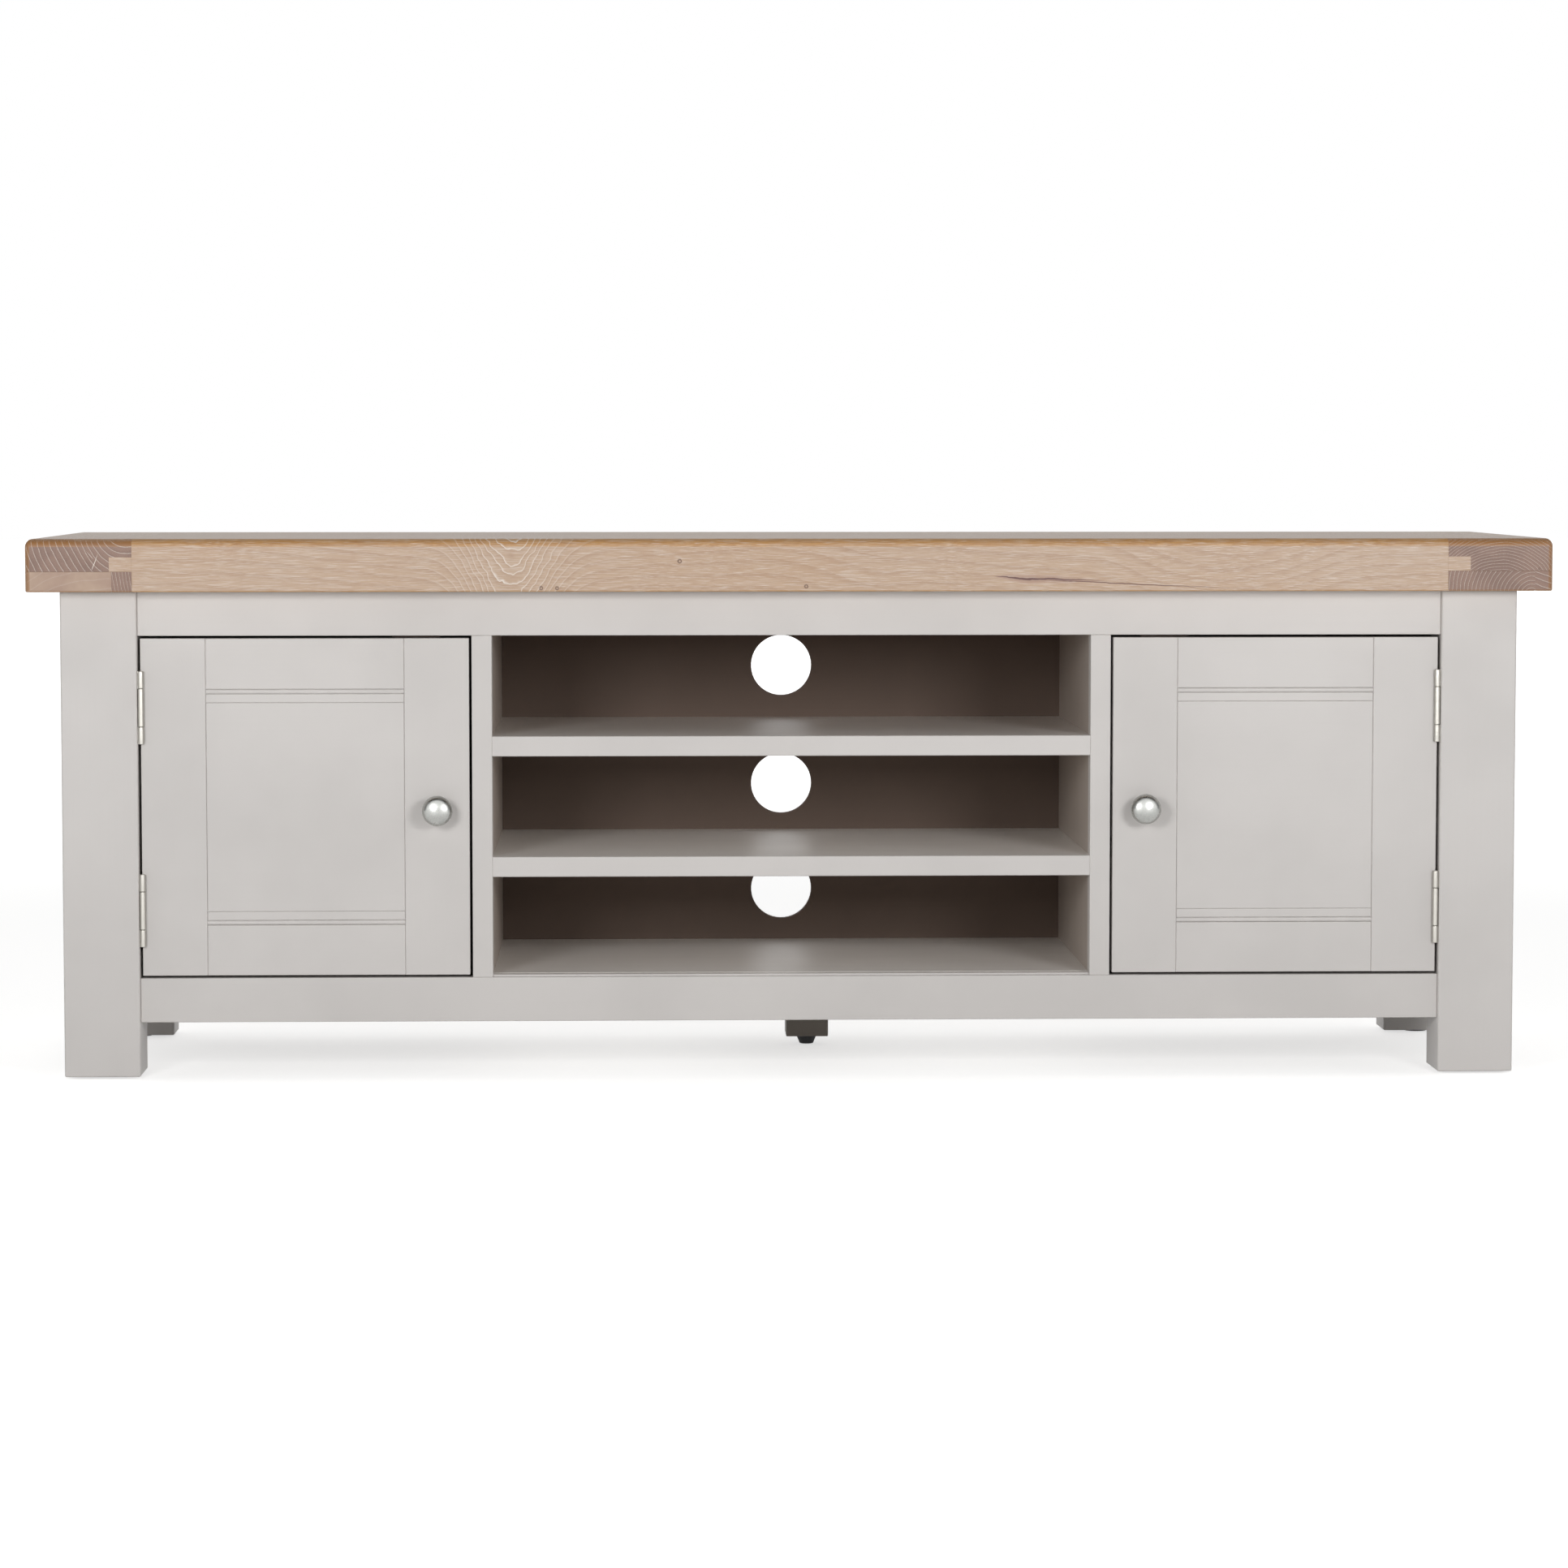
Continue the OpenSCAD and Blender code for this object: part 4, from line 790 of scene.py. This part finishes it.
def addDoor(side):
    body, prefix = "door_" + side, "door_" + side + "_"
    hinge, lock = corners(prefix + "hinge_stile"), corners(prefix + "lock_stile")
    arris, jointArris, back = doorArris["outer"], doorArris["joint"], doorArris["back"]
    towardsRight = [arris, arris, arris, jointArris]
    towardsLeft = [arris, arris, jointArris, arris]
    hingeCorners, lockCorners = (towardsRight, towardsLeft) if side == "left" else (towardsLeft, towardsRight)
    for name, box, radii in (("hinge_stile", hinge, hingeCorners), ("lock_stile", lock, lockCorners)):
        addBoards(prefix + name, body, "paint", [box], 2, radii, doorArris["end"], paints["front", 2])
    innerLow, innerHigh = min(hinge[1][0], lock[1][0]), max(hinge[0][0], lock[0][0])
    seam, bead, shallow = doorArris["seam"], doorArris["bead"], doorArris["panel"]
    ends = (jointArris, (seam, seam, jointArris, seam))
    for name in ("top_rail", "bottom_rail"):
        rail = trimmed(corners(prefix + name), lowX=innerLow, highX=innerHigh)
        addBoards(prefix + name, body, "paint", [rail], 0, [back, arris, arris, back], ends,
                  paints["front", 0])
    beads, tall = corners(prefix + "beads"), doorArris["beadTall"] * mm
    faceLow, faceHigh = beads[0][2] + tall, beads[1][2] - tall
    pair = [trimmed(beads, highZ=faceLow), trimmed(beads, lowZ=faceHigh)]
    addBoards(prefix + "beads", body, "paint", pair, 0, [seam, bead, bead, seam], doorArris["beadEnds"],
              paints["front", 0], 8)
    face = trimmed(corners(prefix + "panel"), lowX=innerLow, highX=innerHigh, lowZ=faceLow, highZ=faceHigh)
    low, high = faceLow + doorArris["strip"] * mm, faceHigh - doorArris["strip"] * mm
    strips = [trimmed(face, highZ=low), trimmed(face, lowZ=low, highZ=high), trimmed(face, lowZ=high)]
    addBoards(prefix + "panel", body, "paint", strips, 0, [seam, shallow, shallow, seam], ends,
              paints["front", 0])
    knob = meshPiece(prefix + "knob_shape", [knobGrid(prefix + "knob")])
    settle(knob, prefix + "knob", body, "satin_nickel", nickel)


for side in ("left", "right"):
    addDoor(side)
print("doors built")


hingeLook = {"tall": 72, "chamfer": 0.55, "gap": 0.3, "doorShare": 0.52, "leafThick": 1.1, "leafStart": 3.3,
             "screwUp": (0.16, 0.84), "headRadius": 2.85, "headProud": 0.06, "bore": 1.55, "barrel": 3.0,
             "pinRadius": 1.5, "edge": 0.2, "overlap": 0.4, "tabFrom": 2.0}


# A length of barrel with a bore: chamfered outside, straight inside
def knuckleGrid(x, y, low, tall):
    radius, bore, cut = hingeLook["barrel"] * mm, hingeLook["bore"] * mm, hingeLook["chamfer"] * mm
    return turnedGrid((x, y, low), (0, 0, 1), [bore, radius - cut, radius, radius, radius - cut, bore],
                      [0, 0, cut, tall - cut, tall, tall], 40, True)


def addHinges(side, sign):
    look = hingeLook
    pins = corners("hinge_pins")
    x, y = sign * (pins[1][0] - look["pinRadius"] * mm), (pins[0][1] + pins[1][1]) / 2
    tall, thick, start = look["tall"] * mm, look["leafThick"] * mm, look["leafStart"] * mm
    doorTall = tall * look["doorShare"]
    frameTall = (tall - doorTall) / 2 - look["gap"] * mm
    legFace = sign * innerRight
    edge, tabEnd = look["edge"] * mm, start + look["overlap"] * mm
    proud, radius = look["headProud"] * mm, look["headRadius"] * mm
    frameLeaf, doorLeaf = corners("hinge_frame_leaves_" + side), corners(f"door_{side}_hinge_leaves")
    doorFace = corners(f"door_{side}_hinge_stile")[1 if sign > 0 else 0][0]
    frame, door, frameHeads, doorHeads = [], [], [], []

    def plate(face, way, y0, y1, z0, z1):
        xs = sorted((face, face + way * thick))
        return boardGrid(np.array([xs[0], y0, z0]), np.array([xs[1], y1, z1]), 2, edge, edge, steps=2)
    screwY = y + look["barrel"] * mm + (frameLeaf[1][1] - y - look["barrel"] * mm) / 2
    for low in (frameLeaf[0][2], frameLeaf[1][2] - tall):
        frame += [knuckleGrid(x, y, low, frameTall), knuckleGrid(x, y, low + tall - frameTall, frameTall),
                  plate(legFace, -sign, y + start, frameLeaf[1][1], low, low + tall)]
        for z in (low, low + tall - frameTall):
            frame.append(plate(legFace, -sign, y, y + tabEnd, z, z + frameTall))
        middleLow = low + (tall - doorTall) / 2
        door += [knuckleGrid(x, y, middleLow, doorTall),
                 plate(doorFace, sign, y + start, doorLeaf[1][1], low, low + tall),
                 plate(doorFace, sign, y + look["tabFrom"] * mm, y + tabEnd, middleLow, middleLow + doorTall)]
        for up in look["screwUp"]:
            z = low + up * tall
            for heads, face, way in ((frameHeads, legFace, -sign), (doorHeads, doorFace, sign)):
                place = (face + way * thick, screwY, z)
                heads.append(screwHeadGrid(place, (way, 0, 0), radius, proud, proud))
    frame = meshPiece(f"hinge_frame_{side}_shape", frame)
    settle(frame, "hinge_frame_leaves_" + side, "cabinet", "hinge_nickel", hingeNickel)
    door = meshPiece(f"hinge_door_{side}_shape", door)
    settle(door, f"door_{side}_hinge_leaves", "door_" + side, "hinge_nickel", hingeNickel)
    return frameHeads, doorHeads


doorScrewLook = {"knob": (4.0, 1.0, 1.5), "plate": (2.8, 0.1, 0.1), "plateCorner": 1.0, "plateEdge": 0.25}
allFrameHeads = []
for side, sign in (("left", -1), ("right", 1)):
    frameHeads, doorHeads = addHinges(side, sign)
    allFrameHeads += frameHeads
    knobBox, plateBox = corners(f"door_{side}_knob"), corners(f"door_{side}_strike_plate")
    doorBack = plateBox[0][1]
    knobHead, plateHead = ([size * mm for size in doorScrewLook[key]] for key in ("knob", "plate"))
    knobCentre, plateCentre = (knobBox[0] + knobBox[1]) / 2, (plateBox[0] + plateBox[1]) / 2
    doorHeads.append(screwHeadGrid((knobCentre[0], doorBack, knobCentre[2]), (0, 1, 0), *knobHead))
    doorHeads.append(screwHeadGrid((plateCentre[0], plateBox[1][1], plateCentre[2]), (0, 1, 0), *plateHead))
    headShape = meshPiece(f"door_{side}_screw_heads", doorHeads)
    settle(headShape, f"door_{side}_screws", "door_" + side, "steel", zinc)
    addBoards(f"door_{side}_strike_plate", "door_" + side, "steel", [plateBox], 1,
              doorScrewLook["plateCorner"], doorScrewLook["plateEdge"], zinc)

# The centre glide's outline in shares of its rim: straight sides, a slightly drawn-in upper edge
glideLook = {"legLip": 0.5, "footLip": 1.4, "footRim": 2.2, "footBottom": 7.6,
             "rimShares": (0.985, 1.0, 0.99), "rimUp": (1.0, 0.8, 0.01), "around": 40}


def addGlides():
    pads = corners("leg_glides")
    lip = glideLook["legLip"] * mm
    grids = []
    for box in legBox.values():
        x, y = (box[0][0] + box[1][0]) / 2, (box[0][1] + box[1][1]) / 2
        radius = pads[1][0] - x if x > 0 else x - pads[0][0]
        tall = pads[1][2]
        grids.append(turnedGrid((x, y, 0), (0, 0, 1), [radius - lip, radius, radius], [0, lip, tall],
                                glideLook["around"]))
    settle(meshPiece("leg_glides_shape", grids), "leg_glides", "cabinet", "black_nylon", nylon)
    low, high = corners("centre_glide")
    centre, top = (low + high) / 2, (high[0] - low[0]) / 2
    tall = corners("centre_foot")[0][2]
    bottom, rim, lip = (glideLook[key] * mm for key in ("footBottom", "footRim", "footLip"))
    turn = np.linspace(0, math.pi / 2, 6)
    radii = np.concatenate([bottom - lip + lip * np.sin(turn), np.array(glideLook["rimShares"]) * top])
    height = np.concatenate([lip - lip * np.cos(turn), tall - rim * np.array(glideLook["rimUp"])])
    grid = turnedGrid((centre[0], centre[1], 0), (0, 0, 1), radii, height, glideLook["around"])
    settle(meshPiece("centre_glide_shape", [grid]), "centre_glide", "cabinet", "black_nylon", nylon)


addGlides()


def dress(node, material):
    slots = cadNodes[node].data.materials
    for i in range(len(slots)):
        slots[i] = material
    if not len(slots):
        slots.append(material)


dress("base_boards_side", paints["inside", 0])
for node in ("base_bearers", "fixing_battens"):
    dress(node, paints["inside", 1])
# The back panels take the back tone: painted shade, darker and browner than the frame, for the shaded backs
# of the bays
for node in ("back_panel_centre", "back_panels_side"):
    dress(node, paints["back", 0])
dress("magnet_catches", catchPlastic)
dress("frame_screws", zinc)
dress("hinge_pins", hingeNickel)
headPiece = meshPiece("hinge_frame_screw_heads", allFrameHeads)
headPiece.data.materials.append(zinc)
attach(headPiece, "cabinet")
print("hardware built")


# A pair holds the value for rays that light, then the one for rays that mirror
studio = {"floorHalf": 30.0, "floorTone": (240, 240, 239), "floorGlow": 0.62, "glowFrom": 1.6,
          "glowFull": 4.5, "glossFloor": 0.75, "sky": 0.03, "front": (0.05, 1.3), "frontFrom": (-0.35, -0.3),
          "frontFull": (-0.7, -0.75), "side": (1.0, 0.25), "sideFrom": 0.6, "sideFull": 0.8,
          "behind": 1.15, "behindFrom": 0.3, "behindFull": 0.95, "aimUp": 0.3,
          "softboxes": [((-1.05, -2.4, 0.82), 0.55, 18.0), ((1.05, -2.4, 0.82), 0.55, 18.0)]}


# Paper floor: seen directly it glows a little, so that it stays pale beneath the cabinet
def addFloor():
    half = studio["floorHalf"]
    steps = np.linspace(-half, half, 3)
    x, y = np.meshgrid(steps, steps, indexing="ij")
    mesh = bpy.data.meshes.new("floor")
    points = np.stack([x, y, np.zeros_like(x)], axis=-1).reshape(-1, 3)
    faces = [(k, k + 3, k + 4, k + 1) for k in (0, 1, 3, 4)]
    mesh.from_pydata(points.tolist(), [], faces)
    floor = bpy.data.objects.new("floor", mesh)
    bpy.context.scene.collection.objects.link(floor)
    n = Nodes(bpy.data.materials.new("floorPaper"))
    paper = n.add("ShaderNodeBsdfDiffuse", {"Color": colour(*studio["floorTone"])})
    away = n.add("ShaderNodeVectorMath", {0: n.place()}, operation="LENGTH").outputs["Value"]
    strength = n.span(away, studio["glowFrom"], studio["glowFull"], studio["floorGlow"], 1.0)
    glow = n.add("ShaderNodeEmission", {"Color": (1, 1, 1, 1), "Strength": strength})
    both = n.add("ShaderNodeAddShader", {0: paper.outputs[0], 1: glow.outputs[0]})
    path = n.add("ShaderNodeLightPath").outputs
    mirrored = n.times(path["Is Glossy Ray"], studio["glossFloor"])
    seen = n.math("MAXIMUM", path["Is Camera Ray"], mirrored)
    blend = n.add("ShaderNodeMixShader", {0: seen, 1: paper.outputs[0], 2: both.outputs[0]})
    n.tree.links.new(blend.outputs[0], n.add("ShaderNodeOutputMaterial").inputs[0])
    mesh.materials.append(n.owner)


def addLight(name, place, size, power, target):
    data = bpy.data.lights.new(name, "AREA")
    data.shape = "SQUARE"
    data.size = size
    data.energy = power
    light = bpy.data.objects.new(name, data)
    bpy.context.scene.collection.objects.link(light)
    light.location = place
    light.rotation_euler = (Vector(target) - Vector(place)).to_track_quat("-Z", "Y").to_euler()


# White where it is seen. Where it lights it is dim in front, and brighter at the sides and behind.
def addSky():
    n = Nodes(bpy.data.worlds.new("studioSky"))
    path = n.add("ShaderNodeLightPath").outputs

    def byRay(pair):
        ends = {"Value": path["Is Glossy Ray"], "To Min": pair[0], "To Max": pair[1]}
        return n.add("ShaderNodeMapRange", ends).outputs["Result"]
    way = n.add("ShaderNodeTexCoord").outputs["Generated"]
    x, y, z = n.add("ShaderNodeSeparateXYZ", {0: way}).outputs
    half = studio["sky"] / 2
    front = n.span(y, byRay(studio["frontFrom"]), byRay(studio["frontFull"]), half, byRay(studio["front"]))
    behind = n.span(y, studio["behindFrom"], studio["behindFull"], half, studio["behind"])
    side = n.span(n.math("ABSOLUTE", x), studio["sideFrom"], studio["sideFull"], 0.0, byRay(studio["side"]))
    lit = n.plus(n.plus(front, behind), side)
    white = n.add("ShaderNodeBackground", {0: (1, 1, 1, 1)}).outputs[0]
    soft = n.add("ShaderNodeBackground", {0: (1, 1, 1, 1), 1: lit}).outputs[0]
    blend = n.add("ShaderNodeMixShader", {0: path["Is Camera Ray"], 1: soft, 2: white})
    n.add("ShaderNodeOutputWorld", {0: blend.outputs[0]})
    bpy.context.scene.world = n.owner


addFloor()
addSky()
middleOfFront = (0.0, cadBox[0][1], studio["aimUp"])
for i, (place, size, power) in enumerate(studio["softboxes"]):
    addLight(f"softbox{i}", place, size, power, middleOfFront)

cameraLook = {"lens": 104.15, "sensor": 36.0, "clip": 60.0, "left": 0.1533, "inFront": 4.4487,
              "height": 0.6125, "turn": 1.859, "dip": 4.094}
cameraData = bpy.data.cameras.new("camera")
cameraData.lens = cameraLook["lens"]
cameraData.sensor_width = cameraLook["sensor"]
cameraData.clip_end = cameraLook["clip"]
camera = bpy.data.objects.new("camera", cameraData)
bpy.context.scene.collection.objects.link(camera)
camera.location = (-cameraLook["left"], cadBox[0][1] - cameraLook["inFront"], cameraLook["height"])
camera.rotation_euler = (math.radians(90 - cameraLook["dip"]), 0.0, -math.radians(cameraLook["turn"]))
bpy.context.scene.camera = camera
bpy.context.scene.view_settings.view_transform = "Standard"
print("studio ready")
